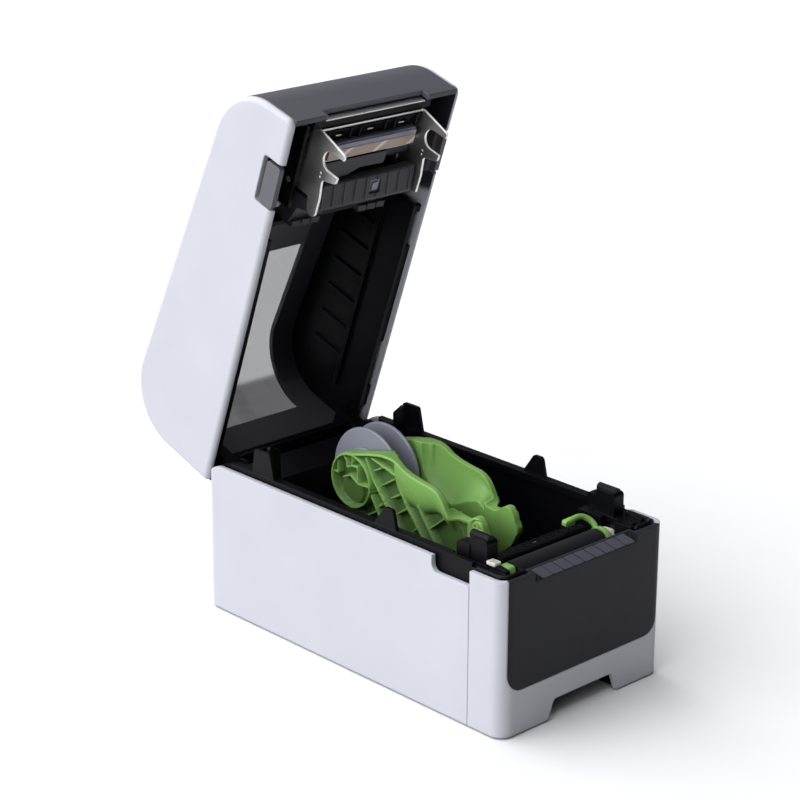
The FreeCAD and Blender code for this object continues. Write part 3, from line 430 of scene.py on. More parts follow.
def board_green(colours):
    """Solder-masked board: square cells of copper tracks and small pads."""
    p = Paint("board_green")
    cells = p.node("ShaderNodeTexVoronoi", {"distance": "CHEBYCHEV"}, {"Vector": p.place, "Scale": 320.0})
    tracks = p.ramp(cells, [(0.4, 0), (0.46, 1)])
    pads = p.ramp(cells, [(0.1, 1), (0.13, 0)])
    mask = p.mix(tracks, colours.board, tone(colours.board, 1.7))
    p.set(Base_Color=p.mix(pads, mask, colours.solder), Metallic=pads * 0.9)
    p.set(Roughness=0.3 + pads * 0.1, Normal=p.bump(tracks + pads, 0.2, GRAIN))
    return p.material


def motor_steel(colours):
    """Dark plated can with drawn rings along X."""
    p = Paint("motor_steel")
    rings = p.noise(500.0, 3.0, 0.6, p.stretched((1, 0.05, 0.05)))
    p.set(Base_Color=p.shades(rings, colours.motor, 0.7, 1.4), Metallic=0.8)
    p.set(Roughness=0.34 + rings * 0.2, Normal=p.bump(rings, 0.1, SCRATCH))
    return p.material


def sensor_grey(colours):
    """Tinted lens, clouded a little under a clear coat."""
    p = Paint("sensor_grey")
    clouds = p.noise(420.0, 2.0)
    p.set(Base_Color=p.shades(clouds, colours.sensor, 0.75, 1.3))
    p.set(Roughness=0.16 + clouds * 0.1, Coat_Weight=0.3)
    return p.material


FINISHES = (white_shell, charcoal_cover, dark_face, black_frame, smoked_window, green_lever, grey_disc,
            rubber_black, steel, alloy, ceramic, gear_white, board_green, motor_steel, tab_grey, sensor_grey,
            satin_black, matt_black, band_lit_grey)
MADE = {}

# Nodes whose finish differs from the others of their slot
OTHER_FINISH = {"label_ramp": "satin_black", "ribbon_bar": "satin_black", "platen_gear": "satin_black",
                "paper_guide": "matt_black"}


# Settings

def colour_prop(name, description, default):
    return bpy.props.FloatVectorProperty(name=name, description=description, subtype="COLOR", size=4,
                                         min=0.0, max=1.0, default=default + (1.0,))


def number_prop(name, description, default, **more):
    return bpy.props.FloatProperty(name=name, description=description, default=default, **more)


def length_prop(name, description, default):
    return number_prop(name, description, default, unit="LENGTH")


def angle_prop(name, description, degrees):
    return number_prop(name, description, math.radians(degrees), subtype="ANGLE")


def power_prop(name, description, default):
    return number_prop(name, description, default, min=0.0, unit="POWER")


def place_prop(name, description, default):
    return bpy.props.FloatVectorProperty(name=name, description=description, subtype="TRANSLATION",
                                         unit="LENGTH", size=len(default), default=default)


class PrinterColours(bpy.types.PropertyGroup):
    """Base colours of the finishes, in linear light."""
    shell: colour_prop("Shell", "White casing", (0.34, 0.346, 0.376))
    cover: colour_prop("Cover", "Charcoal casing of the cover", (0.043, 0.043, 0.053))
    face: colour_prop("Face", "Front face", (0.0083, 0.0083, 0.013))
    frame: colour_prop("Frame", "Black inner mouldings", (0.0026, 0.0026, 0.0036))
    window: colour_prop("Window", "Smoked window", (0.055, 0.051, 0.068))
    guide: colour_prop("Guides", "Green guides and levers", (0.14, 0.28, 0.066))
    disc: colour_prop("Discs", "Grey discs", (0.172, 0.181, 0.218))
    rubber: colour_prop("Rubber", "Roller and feet", (0.0062, 0.0062, 0.0082))
    steel: colour_prop("Steel", "Stamped sheet", (0.60, 0.59, 0.57))
    alloy: colour_prop("Alloy", "Plate behind the heater", (0.6, 0.6, 0.62))
    ceramic: colour_prop("Ceramic", "Glazed strip", (0.145, 0.138, 0.19))
    heater: colour_prop("Heater", "Copper behind the heater line", (0.27, 0.18, 0.115))
    glint: colour_prop("Glints", "Slanting glints on the copper", (0.6, 0.59, 0.58))
    gear: colour_prop("Gears", "Natural acetal", (0.42, 0.41, 0.37))
    board: colour_prop("Boards", "Solder mask", (0.014, 0.095, 0.036))
    solder: colour_prop("Solder", "Pads of the boards", (0.62, 0.6, 0.55))
    motor: colour_prop("Motor", "Plated can", (0.075, 0.075, 0.082))
    satin: colour_prop("Satin", "Ramp and bar in the head", (0.026, 0.026, 0.032))
    # Band: the near black face made paler, painted light where the tiles face up
    band: colour_prop("Band", "Tiles of the tear band", (0.066, 0.067, 0.086))
    tab: colour_prop("Tabs", "Release tabs", (0.053, 0.053, 0.062))
    sensor: colour_prop("Sensors", "Tinted lenses", (0.115, 0.115, 0.145))


class PrinterTiles(bpy.types.PropertyGroup):
    """Slanted tiles along the top of the front face."""
    count: bpy.props.IntProperty(name="Tiles", description="Number of tiles", default=9, min=1)
    width: length_prop("Width", "Width of a tile", 0.0064)
    gap: length_prop("Gap", "Gap between tiles", 0.0005)
    height: length_prop("Height", "How far a tile stands out", 0.0003)
    slope: length_prop("Slope", "Depth and height of the sloped band", 0.0043)
    slant: angle_prop("Slant", "Lean of a tile's sides", -48)


class PrinterDeck(bpy.types.PropertyGroup):
    """Rims of the two corner decks, the pad of the left catch, and a black strip of painted shade inside the
    rear wall.
    """
    edge: place_prop("Edge", "Middle of the rim at the side, at the front and in height",
                     (0.0495, -0.0986, 0.0771))
    bend: length_prop("Bend", "Radius of the corner", 0.0042)
    inner: length_prop("Inner end", "Where the rim starts beside the tear band", 0.0362)
    rear: length_prop("Rear end", "Where the rim ends along the side", -0.0812)
    radius: length_prop("Radius", "Half the rim's width", 0.0013)
    pad: place_prop("Pad", "Middle of the pale pad", (-0.0449, -0.0872, 0.0803))
    pad_half: place_prop("Pad size", "Half sizes of the pale pad", (0.0022, 0.0028, 0.0009))
    # A black strip over the top of the white rear wall, painted shade
    shade_strip: place_prop("Trim", "Middle of the black strip inside the rear wall", (0.0, 0.0993, 0.0712))
    shade_strip_half: place_prop("Trim size", "Half sizes of the black strip", (0.0352, 0.0006, 0.0052))


class PrinterHead(bpy.types.PropertyGroup):
    """Small metal pieces of the print head, measured on the shut cover."""
    faces: place_prop("Faces", "Outer and inner faces of the right plate", (0.0331, 0.0319))
    rivet: place_prop("Rivet", "Depth and height of the first rivet", (-0.0749, 0.0724))
    step: length_prop("Step", "Distance between the two rivets", 0.0021)
    dome: place_prop("Dome", "Half sizes of a rivet", (0.0003, 0.0007, 0.0007))
    lip_low: place_prop("Lip low", "Lower corner of the lip", (-0.0295, -0.0779, 0.0766))
    lip_high: place_prop("Lip high", "Upper corner of the lip", (0.0252, -0.0771, 0.0820))


class PrinterGuides(bpy.types.PropertyGroup):
    """Roll guides: plates with ribs and a rim outside and a channel inside, measured from the middle."""
    hub: place_prop("Hub", "Depth and height of the hub's middle", (0.0375, 0.0759))
    hub_radius: length_prop("Hub radius", "Outer radius of the hub", 0.0142)
    reach: length_prop("Reach", "Outer face of the rim", 0.0175)
    plate: place_prop("Plate", "Inner and outer face of the plate at the hub", (0.0106, 0.0120))
    inside: length_prop("Inside", "Inner face below the channel", 0.0070)
    lug: place_prop("Lug", "Inner and outer face of the front lug", (0.0080, 0.0125))
    wall: length_prop("Wall", "Thickness of the rim", 0.0016)
    rib: length_prop("Rib", "Thickness of a rib", 0.0013)
    boss: place_prop("Boss", "Inner end and radius of the boss that carries the disc", (0.0020, 0.0070))
    collar: place_prop("Collar", "Inner radius, outer radius, inner and outer face of the disc's collar",
                       (0.0100, 0.0143, 0.0064, 0.0084))
    collar_edge: length_prop("Collar edge", "Bevel of the collar", 0.0004)


class PrinterStudio(bpy.types.PropertyGroup):
    """Light, floor and camera."""
    key_power: power_prop("Key power", "Soft light from the left", 4.3)
    key_place: place_prop("Key place", "Where the light from the left stands", (-1.25, 0.35, 1.25))
    key_size: length_prop("Key size", "Width of the light from the left", 1.3)
    top_power: power_prop("Top power", "Soft light from above", 2.8)
    top_place: place_prop("Top place", "Where the light from above hangs", (0.1, 0.3, 1.7))
    top_size: length_prop("Top size", "Width of the light from above", 1.1)
    aim: place_prop("Aim", "Where both lights point", (0.0, 0.0, 0.1))
    sky: number_prop("Sky", "Strength of the even light where it is strongest", 3.7, min=0.0)
    sky_tint: colour_prop("Sky tint", "Colour of the even light", (0.96, 0.97, 1.0))
    sky_side: bpy.props.FloatVectorProperty(name="Sky side", description="Where the even light is strongest",
                                            subtype="DIRECTION", default=(-0.66, 0.55, 0.52))
    sky_range: bpy.props.FloatVectorProperty(name="Sky range", size=2, default=(0.02, 0.85),
                                             description="Cosines from its side where it starts and is full")
    floor_size: number_prop("Floor", "Side of the floor", 9.0, min=1.0, unit="LENGTH")
    floor_dark: colour_prop("Floor dark", "Dark grain of the floor", (0.585, 0.585, 0.585))
    floor_light: colour_prop("Floor light", "Light grain of the floor", (0.605, 0.605, 0.605))
    azimuth: angle_prop("Azimuth", "Camera's turn about the upright axis", -43.51227)
    elevation: angle_prop("Elevation", "Camera's height angle", 19.57397)
    roll: angle_prop("Roll", "Camera's turn about its view", 0.32039)
    lens: number_prop("Lens", "Focal length on a 36 mm frame", 110.853, min=1.0)
    eye: place_prop("Eye", "Camera's place", (-0.766938, -0.786791, 0.513820))


# Side view of a guide in millimetres: upper and lower edge, ribs and stubs as straight runs, walls in the hub

GUIDE_TOP = ((37.5, 90.1), (26.2, 93.3), (16.5, 95.4), (9.1, 95.6), (4.2, 94.2), (1.5, 92.3), (-4.5, 90.4),
             (-12, 89.2), (-18, 88.6), (-21.5, 87.6), (-25, 84.9), (-28, 80.6), (-29.6, 77), (-31.5, 76.1),
             (-37.2, 75.7), (-38.6, 76.6), (-40.2, 78.4), (-43.4, 79.8), (-46.2, 78.8), (-49, 74.4),
             (-50.4, 69))
GUIDE_LOW = ((37.5, 61.7), (30, 57), (22, 44), (14, 12.4), (-24, 12.4), (-27.4, 31), (-43, 57.5), (-47.5, 61),
             (-50.4, 68.4))
GUIDE_RIBS = ((37.7, 88.1, 31.1, 83.6), (31.1, 83.6, 26.8, 76.2), (26.8, 76.2, 11, 53),
              (27.9, 90.5, 22.4, 80.6), (22.4, 80.6, 2, 56), (23.5, 91.3, 6.4, 86.8), (6.4, 86.8, 4.2, 81.2),
              (4.2, 81.2, -1.2, 73.3), (-1.2, 73.3, -18, 53.5), (-8.5, 76.3, -25, 54), (26, 50, 6, 26),
              (2, 56, -14, 32))
GUIDE_STUBS = ((23, 84.6, 18.1, 87.2), (18.1, 78.1, 9.5, 83.8), (11.1, 73.9, 6.3, 76.5), (7.3, 66.7, 0.9, 71),
               (27.8, 60.1, 22.4, 63.4), (-16.4, 66.8, -26.1, 74.8), (24.6, 72.8, 23.4, 73.6),
               (19.7, 67.1, 18.5, 67.9), (-3.5, 61, -8.5, 64.5), (-31, 75, -36, 67))
HUB_WALLS = ((47.7, 85.5, 47.7, 77.3), (51, 77.6, 47.7, 77.3), (44.8, 88, 41.6, 85.4), (41.6, 85.4, 41, 81.6),
             (41, 81.6, 37.7, 83.3), (37.7, 83.3, 37.2, 89), (37.7, 83.3, 33.9, 83.6), (33.9, 83.6, 33.3, 75),
             (43.8, 76, 38.8, 78.2), (38.8, 78.2, 33.3, 75), (33.3, 75, 25, 75.4))

# Forms of a guide in metres: a MIDDLE is a depth and a height, START and FULL are depths, RUN is a length

# Outline: the rounded front end, the smoothing of both edge lines and the rounding over to the edge
NOSE_START = -0.0464
NOSE_LENGTH = 0.0040
OUTLINE_BLUR = 0.0016
ROUNDING = 0.0009

# Widths over which a form rises
SOFT = 0.0004
CRISP = 0.0003

# Rim, which gets wider behind the lug, and the bulge below its shoulder
RIM_START = -0.034
RIM_RUN = 0.0045
RIM_LEAST = 0.001
SHOULDER = 0.0025
BULGE_START = -0.031
BULGE_RUN = 0.004
BULGE_FULL = 0.0045
BULGE_CLOSING = 3
BULGE_DEPTHS = (-0.028, -0.010)
BULGE_HEIGHTS = (0.007, 0.0153)

# Hub ring and pad, ribs, and the shares of the full height that stubs and hub walls have
RING_HALF = 0.0008
PAD_MIDDLE = (0.0400, 0.0698)
PAD_RADIUS = 0.0076
PAD_TOP = 0.0768
PAD_HEIGHT = 0.0012
RIB_SOFT = 0.0005
RIB_SUNK = 0.0008
STUB_SHARE = 0.6
HUB_WALL_SHARE = 0.8

# Lug with a ring and two dots sunk into it
LUG_START = -0.0375
LUG_SOFT = 0.0008
EYE_MIDDLE = (-0.0448, 0.0742)
EYE_RADIUS = 0.0040
EYE_DEEP = 0.0005
DOT_HEIGHT = 0.0750
DOT_APART = 0.0017
DOT_RADIUS = 0.0007
DOT_DEEP = 0.0012

# Inside: its level parts, the channel along the upper edge, the least thickness and the boss
INSIDE_DEPTHS = (-0.040, -0.036, 0.010, 0.024)
CHANNEL_START = -0.0295
CHANNEL_FULL = 0.003
CHANNEL_CLOSING = 1.5
CHANNEL_DEPTHS = (-0.029, -0.021, -0.008)
CHANNEL_HEIGHTS = (0.001, 0.009, 0.017)
CHANNEL_ROUND = 1.6
CHANNEL_SKIN = 0.0034
THINNEST = 0.0012
BOSS_MIDDLE = (0.037, 0.0762)


# Surfaces

def power_wave(angle, squareness):
    """Cosine and sine raised to a small power with their signs kept: a circle pressed towards a square."""
    cosine, sine = np.cos(angle), np.sin(angle)
    return (np.sign(cosine) * np.abs(cosine) ** squareness, np.sign(sine) * np.abs(sine) ** squareness)


def pillows(centres, half_axes, squareness, rings=13, around=32):
    """Rounded blocks: spheres whose two angles are pressed towards squares, stretched along half axes."""
    up = power_wave(np.linspace(-np.pi / 2, np.pi / 2, rings), squareness)
    side = power_wave(np.linspace(0, 2 * np.pi, around, endpoint=False), squareness)
    rise = np.outer(up[1], np.ones(around))
    unit = np.stack([np.outer(up[0], side[0]), np.outer(up[0], side[1]), rise], -1)
    return np.asarray(centres)[:, None, None, :] + unit[None] @ np.asarray(half_axes)


def bead(path, radius, around=16):
    """Round strip: circles across a path, with a radius that falls to nothing at both ends as in a ball."""
    path = np.asarray(path)
    reach = np.concatenate([[0], np.cumsum(np.linalg.norm(np.diff(path, axis=0), axis=1))])
    ends = np.minimum(reach, reach[-1] - reach) / radius
    size = radius * np.sqrt(1 - (1 - np.clip(ends, 0, 1)) ** 2)
    along = np.gradient(path, axis=0)
    along /= np.linalg.norm(along, axis=1)[:, None]
    across = np.cross(along, (0.0, 0.0, 1.0))
    angle = np.linspace(0, 2 * np.pi, around, endpoint=False)
    wheel = np.cos(angle)[None, :, None] * across[:, None] + np.sin(angle)[None, :, None] * (0.0, 0.0, 1.0)
    return (path[:, None] + size[:, None, None] * wheel)[None]


def turned(profile, centre, side, around=96):
    """Surface of revolution about X: each radius and offset of a profile is a circle about the centre."""
    radius, offset = np.asarray(profile).T
    angle = np.linspace(0, 2 * np.pi, around, endpoint=False)
    y = centre[0] + np.outer(radius, np.cos(angle))
    z = centre[1] + np.outer(radius, np.sin(angle))
    return np.stack([np.broadcast_to(side * offset[:, None], y.shape), y, z], -1)[None]


def soft_step(value, width):
    """0 below nought and 1 above the width, along a smooth S."""
    t = np.clip(value / width, 0, 1)
    return t * t * (3 - 2 * t)


def distance(y, z, middle):
    """Distance of every grid point from one point of the side view."""
    return np.hypot(y - middle[0], z - middle[1])


def run_distance(y, z, runs):
    """Distance of every grid point from the nearest of some straight runs, each clamped to its own length."""
    runs = np.asarray(runs)[:, :, None, None] / 1000
    along = runs[:, 2:] - runs[:, :2]
    rest = np.stack([y, z])[None] - runs[:, :2]
    share = np.clip((rest * along).sum(1) / (along * along).sum(1), 0, 1)
    return np.linalg.norm(rest - share[:, None] * along, axis=1).min(0)


def guide_grid(g, steps=(50, 230, 40), rows=138, crowding=1.5):
    """Upright lines through the side view: depths by circle, line and circle, heights by a power that crowds
    them near the upper edge."""
    rear = g.hub[0] + g.hub_radius * np.cos(np.linspace(0, np.pi / 2, steps[0], endpoint=False))
    front = NOSE_START - NOSE_LENGTH * np.sin(np.linspace(0, np.pi / 2, steps[2]))
    y = np.concatenate([rear, np.linspace(g.hub[0], NOSE_START, steps[1], endpoint=False), front])
    ball = np.sqrt(np.clip(g.hub_radius ** 2 - (y - g.hub[0]) ** 2, 0, None))
    blur = y[:, None] + np.linspace(-OUTLINE_BLUR, OUTLINE_BLUR, 13)
    edges = []
    for table, sign in ((GUIDE_TOP, 1), (GUIDE_LOW, -1)):
        at, height = np.array(table)[::-1].T / 1000
        mean = np.interp(blur, at, height).mean(1)
        edges.append(np.where(y > g.hub[0], g.hub[1] + sign * ball, mean))
    top, low = edges
    fall = np.linspace(0, 1, rows) ** crowding
    return y, top, low, top[:, None] - (top - low)[:, None] * fall


def guide_bulge(y, drop):
    """Share of the full height in the bulge: a quarter ellipse over the drop below the shoulder, closed
    towards the hub."""
    across = np.hypot(drop, BULGE_CLOSING * np.clip(y - BULGE_FULL, 0, None))
    share = across / np.interp(y, BULGE_DEPTHS, BULGE_HEIGHTS)
    return np.sqrt(np.clip(1 - share ** 2, 0, None)) * soft_step(y - BULGE_START, BULGE_RUN)


def guide_outside(g, y, z, edge, floor, reach, bulge):
    """Outer face: the highest of rim, bulge, hub ring, pad, lug, ribs, stubs and hub walls over the floor,
    less a ring and two dots sunk into the lug, and rounded along the edge by a quarter circle."""
    tall = reach - floor
    hub = distance(y, z, g.hub)
    in_hub = soft_step(g.hub_radius - hub, SOFT)
    rim = soft_step(g.wall - edge, SOFT)
    ring = soft_step(RING_HALF - np.abs(hub - g.hub_radius + RING_HALF), SOFT)
    pad = soft_step(PAD_RADIUS - distance(y, z, PAD_MIDDLE), SOFT) * soft_step(PAD_TOP - z, SOFT)
    lug = soft_step(LUG_START - y, LUG_SOFT)
    ribs = soft_step(g.rib / 2 - run_distance(y, z, GUIDE_RIBS), RIB_SOFT)
    stubs = soft_step(g.rib / 2 - run_distance(y, z, GUIDE_STUBS), CRISP)
    walls = soft_step(g.rib / 2 - run_distance(y, z, HUB_WALLS), CRISP)
    raised = [floor + tall * rim, bulge, floor + tall * ring, floor + PAD_HEIGHT * pad, floor + tall * lug,
              floor + (reach - RIB_SUNK - floor) * ribs * (1 - in_hub),
              floor + STUB_SHARE * tall * stubs,
              floor + HUB_WALL_SHARE * tall * walls * in_hub]
    outside = np.max(raised, axis=0)
    eye = np.abs(distance(y, z, EYE_MIDDLE) - EYE_RADIUS)
    outside = outside - EYE_DEEP * soft_step(EYE_DEEP - eye, CRISP)
    dots = np.hypot(np.abs(y - EYE_MIDDLE[0]) - DOT_APART, z - DOT_HEIGHT)
    outside = outside - DOT_DEEP * soft_step(DOT_RADIUS - dots, CRISP)
    round_off = np.clip(1 - edge / ROUNDING, 0, 1)
    return outside - ROUNDING * (1 - np.sqrt(1 - round_off ** 2))


def guide_inside(g, y, z, drop, bulge):
    """Inner face: level at the lug, the middle and the hub, sunk along the upper edge by a channel that is
    rounded much as a quarter ellipse and stays behind the bulge, and drawn in at the boss."""
    height = np.interp(y, CHANNEL_DEPTHS, CHANNEL_HEIGHTS)
    scoop = np.hypot(drop, CHANNEL_CLOSING * np.clip(y - CHANNEL_FULL, 0, None)) / height
    sink = np.clip(1 - scoop ** CHANNEL_ROUND, 0, None) ** (1 / CHANNEL_ROUND) * (y > CHANNEL_START)
    inside = np.interp(y, INSIDE_DEPTHS, (g.lug[0], g.inside, g.inside, g.plate[0]))
    inside = inside + np.clip(g.reach - CHANNEL_SKIN - inside, 0, None) * sink
    inside = np.minimum(inside, bulge - THINNEST)
    return np.where(distance(y, z, BOSS_MIDDLE) < g.boss[1], g.boss[0], inside)


def guide_skin(g, side, across=5):
    """A plate whose two faces are heights over its side view: each upright line is a ring up the outside,
    over the upper edge, down the inside and under the lower edge, and the last ring closes to a point."""
    line, top, low, z = guide_grid(g)
    y = np.broadcast_to(line[:, None], z.shape)
    lean_top, lean_low = np.hypot(1, np.gradient(top, line)), np.hypot(1, np.gradient(low, line))
    edge = np.minimum((top[:, None] - z) / lean_top[:, None], (z - low[:, None]) / lean_low[:, None])
    edge = np.where(y > g.hub[0], g.hub_radius - distance(y, z, g.hub), edge)
    reach = g.lug[1] + (g.reach - g.lug[1]) * soft_step(y - RIM_START, RIM_RUN)
    floor = np.minimum(g.plate[1], reach - RIM_LEAST)
    drop = np.clip(top[:, None] - SHOULDER - z, 0, None)
    bulge = floor + (reach - floor) * guide_bulge(y, drop)
    outside = guide_outside(g, y, z, edge, floor, reach, bulge)
    inside = guide_inside(g, y, z, drop, bulge)
    share = np.linspace(0, 1, across + 2)[1:-1]
    upper = outside[:, :1] + (inside - outside)[:, :1] * share
    under = inside[:, -1:] + (outside - inside)[:, -1:] * share
    x = np.concatenate([outside[:, ::-1], upper, inside, under], 1)
    above, below = np.repeat(z[:, :1], across, 1), np.repeat(z[:, -1:], across, 1)
    height = np.concatenate([z[:, ::-1], above, z, below], 1)
    rings = np.stack([side * x, np.broadcast_to(line[:, None], x.shape), height], -1)[None]
    last = rings[:, -1:]
    return np.concatenate([rings, np.broadcast_to(last.mean(2, keepdims=True), last.shape)], 1)


def swung(points):
    """Points of the shut cover, turned about the hinge to where the cover stands."""
    pivot = np.array(HINGE["pos_m"])
    return (np.asarray(points) - pivot) @ np.array(OPENING).T + pivot


def skin(name, rings, body, finish):
    """One piece out of closed skins, each a stack of rings whose neighbours are joined by quads."""
    count, along, around = rings.shape[:3]
    index = np.arange(count * along * around).reshape(count, along, around)
    low, high = index[:, :-1], index[:, 1:]
    quads = np.stack([low, np.roll(low, -1, 2), np.roll(high, -1, 2), high], -1).reshape(-1, 4)
    mesh = bpy.data.meshes.new(name)
    mesh.from_pydata(rings.reshape(-1, 3).tolist(), [], quads.tolist())
    work = bmesh.new()
    work.from_mesh(mesh)
    bmesh.ops.remove_doubles(work, verts=work.verts, dist=1e-7)
    bmesh.ops.recalc_face_normals(work, faces=work.faces)
    work.to_mesh(mesh)
    work.free()
    mesh.shade_smooth()
    mesh.materials.append(MADE[finish])
    piece = bpy.data.objects.new(name, mesh)
    bpy.context.scene.collection.objects.link(piece)
    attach(piece, body)
    return piece


# Operators

class PRINTER_OT_finishes(bpy.types.Operator):
    """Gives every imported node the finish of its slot"""
    bl_idname = "printer.finishes"
    bl_label = "Finishes"

    def execute(self, context):
        MADE.update({finish.__name__: finish(context.scene.printer_colours) for finish in FINISHES})
        for name, node in NODES.items():
            node.data.materials.clear()
            node.data.materials.append(MADE[OTHER_FINISH.get(name, SLOT_OF[name])])
        return {"FINISHED"}


class PRINTER_OT_band(bpy.types.Operator):
    """Sets slanted tiles on the tear band"""
    bl_idname = "printer.band"
    bl_label = "Tear band"

    def execute(self, context):
        low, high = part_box("front_panel")
        tiles = context.scene.printer_tiles
        step = tiles.width + tiles.gap
        start = -step * (tiles.count - 1) / 2
        centres = np.zeros((tiles.count, 3))
        centres[:, 0] = start + step * np.arange(tiles.count)
        centres[:, 1] = low.y + tiles.slope / 2
        centres[:, 2] = high.z - tiles.slope / 2
        half_run = tiles.slope * 0.46
        lean = half_run * math.tan(tiles.slant)
        out = tiles.height * math.sqrt(0.5)
        axes = [(tiles.width / 2, 0, 0), (lean, half_run, half_run), (0, -out, out)]
        blocks = pillows(centres, axes, squareness=0.16, rings=11, around=40)
        skin("tear_tiles", blocks, "base", "band_lit_grey")
        return {"FINISHED"}


class PRINTER_OT_deck(bpy.types.Operator):
    """Adds the rims of the corner decks, the pale pad of the left catch and a black strip of painted shade
    inside the rear wall
    """
    bl_idname = "printer.deck"
    bl_label = "Deck"

    def execute(self, context):
        deck = context.scene.printer_deck
        for name, side in SIDES:
            rim = bead(self.corner(deck, side), deck.radius)
            skin("deck_rim_" + name, rim, "base", "black_frame")
        pad = pillows([deck.pad], np.diag(deck.pad_half), squareness=0.25)
        skin("catch_pad", pad, "base", "gear_white")
        # Painted shade: a black strip where the white rear wall lies in shade
        shade_strip = pillows([deck.shade_strip], np.diag(deck.shade_strip_half), squareness=0.12, around=48)
        skin("rear_shade_strip", shade_strip, "base", "black_frame")
        return {"FINISHED"}

    def corner(self, deck, side, straight=40):
        """A straight front stretch, a quarter circle and a straight side stretch."""
        bend = np.linspace(0, np.pi / 2, 14)
        x = deck.edge[0] - deck.bend + deck.bend * np.sin(bend)
        y = deck.edge[1] + deck.bend - deck.bend * np.cos(bend)
        to_bend = np.linspace(deck.inner, x[0], straight, endpoint=False)
        from_bend = np.linspace(deck.rear, y[-1], straight, endpoint=False)[::-1]
        x = np.concatenate([to_bend, x, np.full(straight, x[-1])])
        y = np.concatenate([np.full(straight, y[0]), y, from_bend])
        return np.column_stack([side * x, y, np.full(len(x), deck.edge[2])])


class PRINTER_OT_head(bpy.types.Operator):
    """Adds the bracket's rivets and the bright lip behind the heater"""
    bl_idname = "printer.head"
    bl_label = "Print head"

    def execute(self, context):
        head = context.scene.printer_head
        depth, height = head.rivet
        spots = np.array([(x, depth + shift, height) for x in head.faces for shift in (0.0, head.step)])
        both_sides = np.concatenate([spots, spots * (-1, 1, 1)])
        domes = pillows(swung(both_sides), np.diag(head.dome), squareness=1.0)
        skin("bracket_rivets", domes, "head", "alloy")
        low, high = np.array(head.lip_low), np.array(head.lip_high)
        strip = pillows([(high + low) / 2], np.diag((high - low) / 2), squareness=0.12, around=48)
        skin("bracket_lip", swung(strip), "head", "alloy")
        return {"FINISHED"}


class PRINTER_OT_guides(bpy.types.Operator):
    """Makes the two ribbed roll guides in place of the plain ones"""
    bl_idname = "printer.guides"
    bl_label = "Roll guides"

    def execute(self, context):
        for name, side in SIDES:
            rings = guide_skin(context.scene.printer_guides, side)
            piece = skin("roll_guide_" + name, rings, "guide_" + name, "green_lever")
            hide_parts("guide_arm_" + name)
        return {"FINISHED"}


class PRINTER_OT_collars(bpy.types.Operator):
    """Adds the collar on the outside of each grey disc"""
    bl_idname = "printer.collars"
    bl_label = "Disc collars"

    def execute(self, context):
        bore, rim, start, end = context.scene.printer_guides.collar
        edge = context.scene.printer_guides.collar_edge
        profile = [(bore, start), (rim, start), (rim, end - edge), (rim - edge, end), (bore, end),
                   (bore, start)]
        for name, side in SIDES:
            low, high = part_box("spool_disc_" + name)
            ring = turned(profile, ((low.y + high.y) / 2, (low.z + high.z) / 2), side)
            skin("disc_collar_" + name, ring, "disc_" + name, "grey_disc")
        return {"FINISHED"}


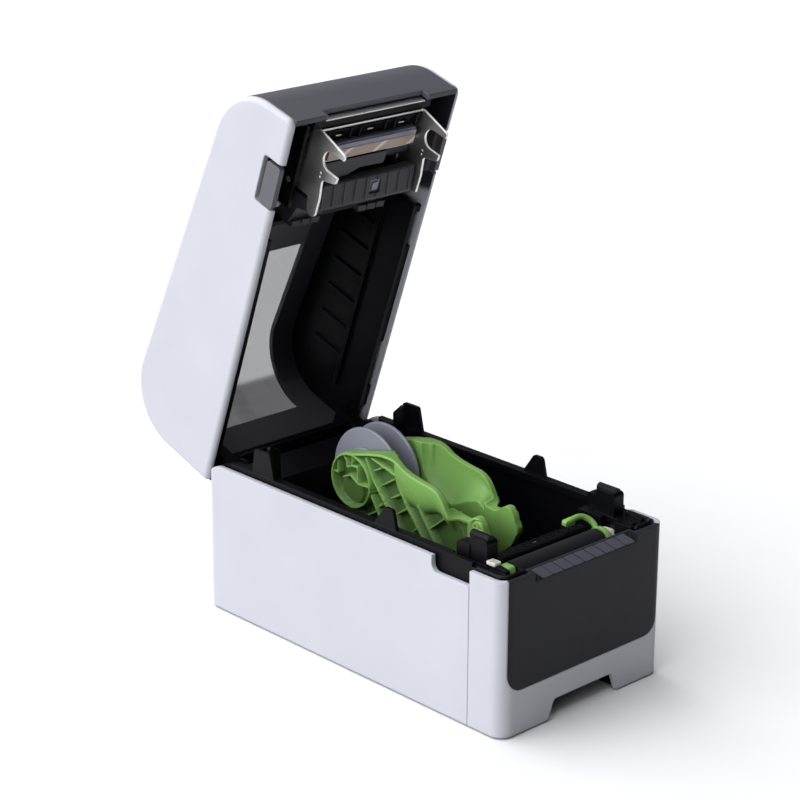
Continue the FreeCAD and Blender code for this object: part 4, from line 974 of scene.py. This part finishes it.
class PRINTER_OT_stage(bpy.types.Operator):
    """Lays a pale floor, soft lights and the camera"""
    bl_idname = "printer.stage"
    bl_label = "Stage"

    def execute(self, context):
        scene = context.scene
        studio = scene.printer_studio
        self.floor(scene, studio)
        self.light(scene, "key_light", studio.key_place, studio.key_size, studio.key_power, studio.aim)
        self.light(scene, "top_light", studio.top_place, studio.top_size, studio.top_power, studio.aim)
        self.sky(scene, studio)
        self.camera(scene, studio)
        scene.view_settings.view_transform = "Standard"
        return {"FINISHED"}

    def floor(self, scene, studio):
        """A flat square at the feet with a faint paper grain."""
        half = studio.floor_size / 2
        points = [(-half, -half, 0), (half, -half, 0), (half, half, 0), (-half, half, 0)]
        mesh = bpy.data.meshes.new("floor")
        mesh.from_pydata(points, [], [(0, 1, 2, 3)])
        floor = bpy.data.objects.new("floor", mesh)
        scene.collection.objects.link(floor)
        p = Paint("floor")
        p.set(Base_Color=p.mix(p.noise(30.0, 4.0), studio.floor_dark, studio.floor_light), Roughness=0.8)
        mesh.materials.append(p.material)

    def light(self, scene, name, place, size, power, aim):
        """A round lamp that points at the aim."""
        data = bpy.data.lights.new(name, "AREA")
        data.shape = "DISK"
        data.size = size
        data.energy = power
        lamp = bpy.data.objects.new(name, data)
        lamp.location = place
        lamp.rotation_euler = (Vector(aim) - Vector(place)).to_track_quat("-Z", "Y").to_euler()
        scene.collection.objects.link(lamp)

    def sky(self, scene, studio):
        """Even light that grows towards the left, the back and above and fades towards the front."""
        world = bpy.data.worlds.new("studio")
        world.use_nodes = True
        tree = world.node_tree
        way = tree.nodes.new("ShaderNodeTexCoord")
        turn = tree.nodes.new("ShaderNodeVectorMath")
        turn.operation = "DOT_PRODUCT"
        turn.inputs[1].default_value = Vector(studio.sky_side).normalized()
        reach = tree.nodes.new("ShaderNodeMapRange")
        reach.interpolation_type = "SMOOTHSTEP"
        for socket, value in zip(reach.inputs[1:5], (*studio.sky_range, 0.0, studio.sky)):
            socket.default_value = value
        ground = tree.nodes["Background"]
        ground.inputs["Color"].default_value = studio.sky_tint
        tree.links.new(way.outputs["Generated"], turn.inputs[0])
        tree.links.new(turn.outputs["Value"], reach.inputs[0])
        tree.links.new(reach.outputs[0], ground.inputs["Strength"])
        scene.world = world

    def camera(self, scene, studio):
        """Axes from azimuth and elevation, then turned by the roll."""
        a, e, r = studio.azimuth, studio.elevation, studio.roll
        back = Vector((math.sin(a) * math.cos(e), -math.cos(a) * math.cos(e), math.sin(e)))
        right = Vector((math.cos(a), math.sin(a), 0.0))
        up = back.cross(right)
        right, up = right * math.cos(r) + up * math.sin(r), up * math.cos(r) - right * math.sin(r)
        data = bpy.data.cameras.new("photo_camera")
        data.sensor_fit = "HORIZONTAL"
        data.sensor_width = 36.0
        data.lens = studio.lens
        data.clip_start = 0.05
        data.clip_end = 50.0
        camera = bpy.data.objects.new("photo_camera", data)
        turn = Matrix((right, up, back)).transposed().to_4x4()
        camera.matrix_world = Matrix.Translation(studio.eye) @ turn
        scene.collection.objects.link(camera)
        scene.camera = camera


# Panel

OPERATORS = (PRINTER_OT_finishes, PRINTER_OT_band, PRINTER_OT_deck, PRINTER_OT_head, PRINTER_OT_guides,
             PRINTER_OT_collars, PRINTER_OT_stage)


class PRINTER_PT_tools(bpy.types.Panel):
    """Lists the steps that dress the printer"""
    bl_label = "Printer"
    bl_idname = "PRINTER_PT_tools"
    bl_space_type = "VIEW_3D"
    bl_region_type = "UI"
    bl_category = "Printer"

    def draw(self, context):
        for operator in OPERATORS:
            self.layout.operator(operator.bl_idname)


SETTINGS = {"printer_colours": PrinterColours, "printer_tiles": PrinterTiles, "printer_deck": PrinterDeck,
            "printer_head": PrinterHead, "printer_guides": PrinterGuides, "printer_studio": PrinterStudio}
CLASSES = tuple(SETTINGS.values()) + OPERATORS + (PRINTER_PT_tools,)


def register():
    for made in CLASSES:
        bpy.utils.register_class(made)
    for name, group in SETTINGS.items():
        setattr(bpy.types.Scene, name, bpy.props.PointerProperty(type=group))


def unregister():
    for name in SETTINGS:
        delattr(bpy.types.Scene, name)
    for made in reversed(CLASSES):
        bpy.utils.unregister_class(made)


def main():
    register()
    bpy.ops.printer.finishes()
    bpy.ops.printer.band()
    bpy.ops.printer.deck()
    bpy.ops.printer.head()
    bpy.ops.printer.guides()
    bpy.ops.printer.collars()
    bpy.ops.printer.stage()


if __name__ == "__main__":
    main()
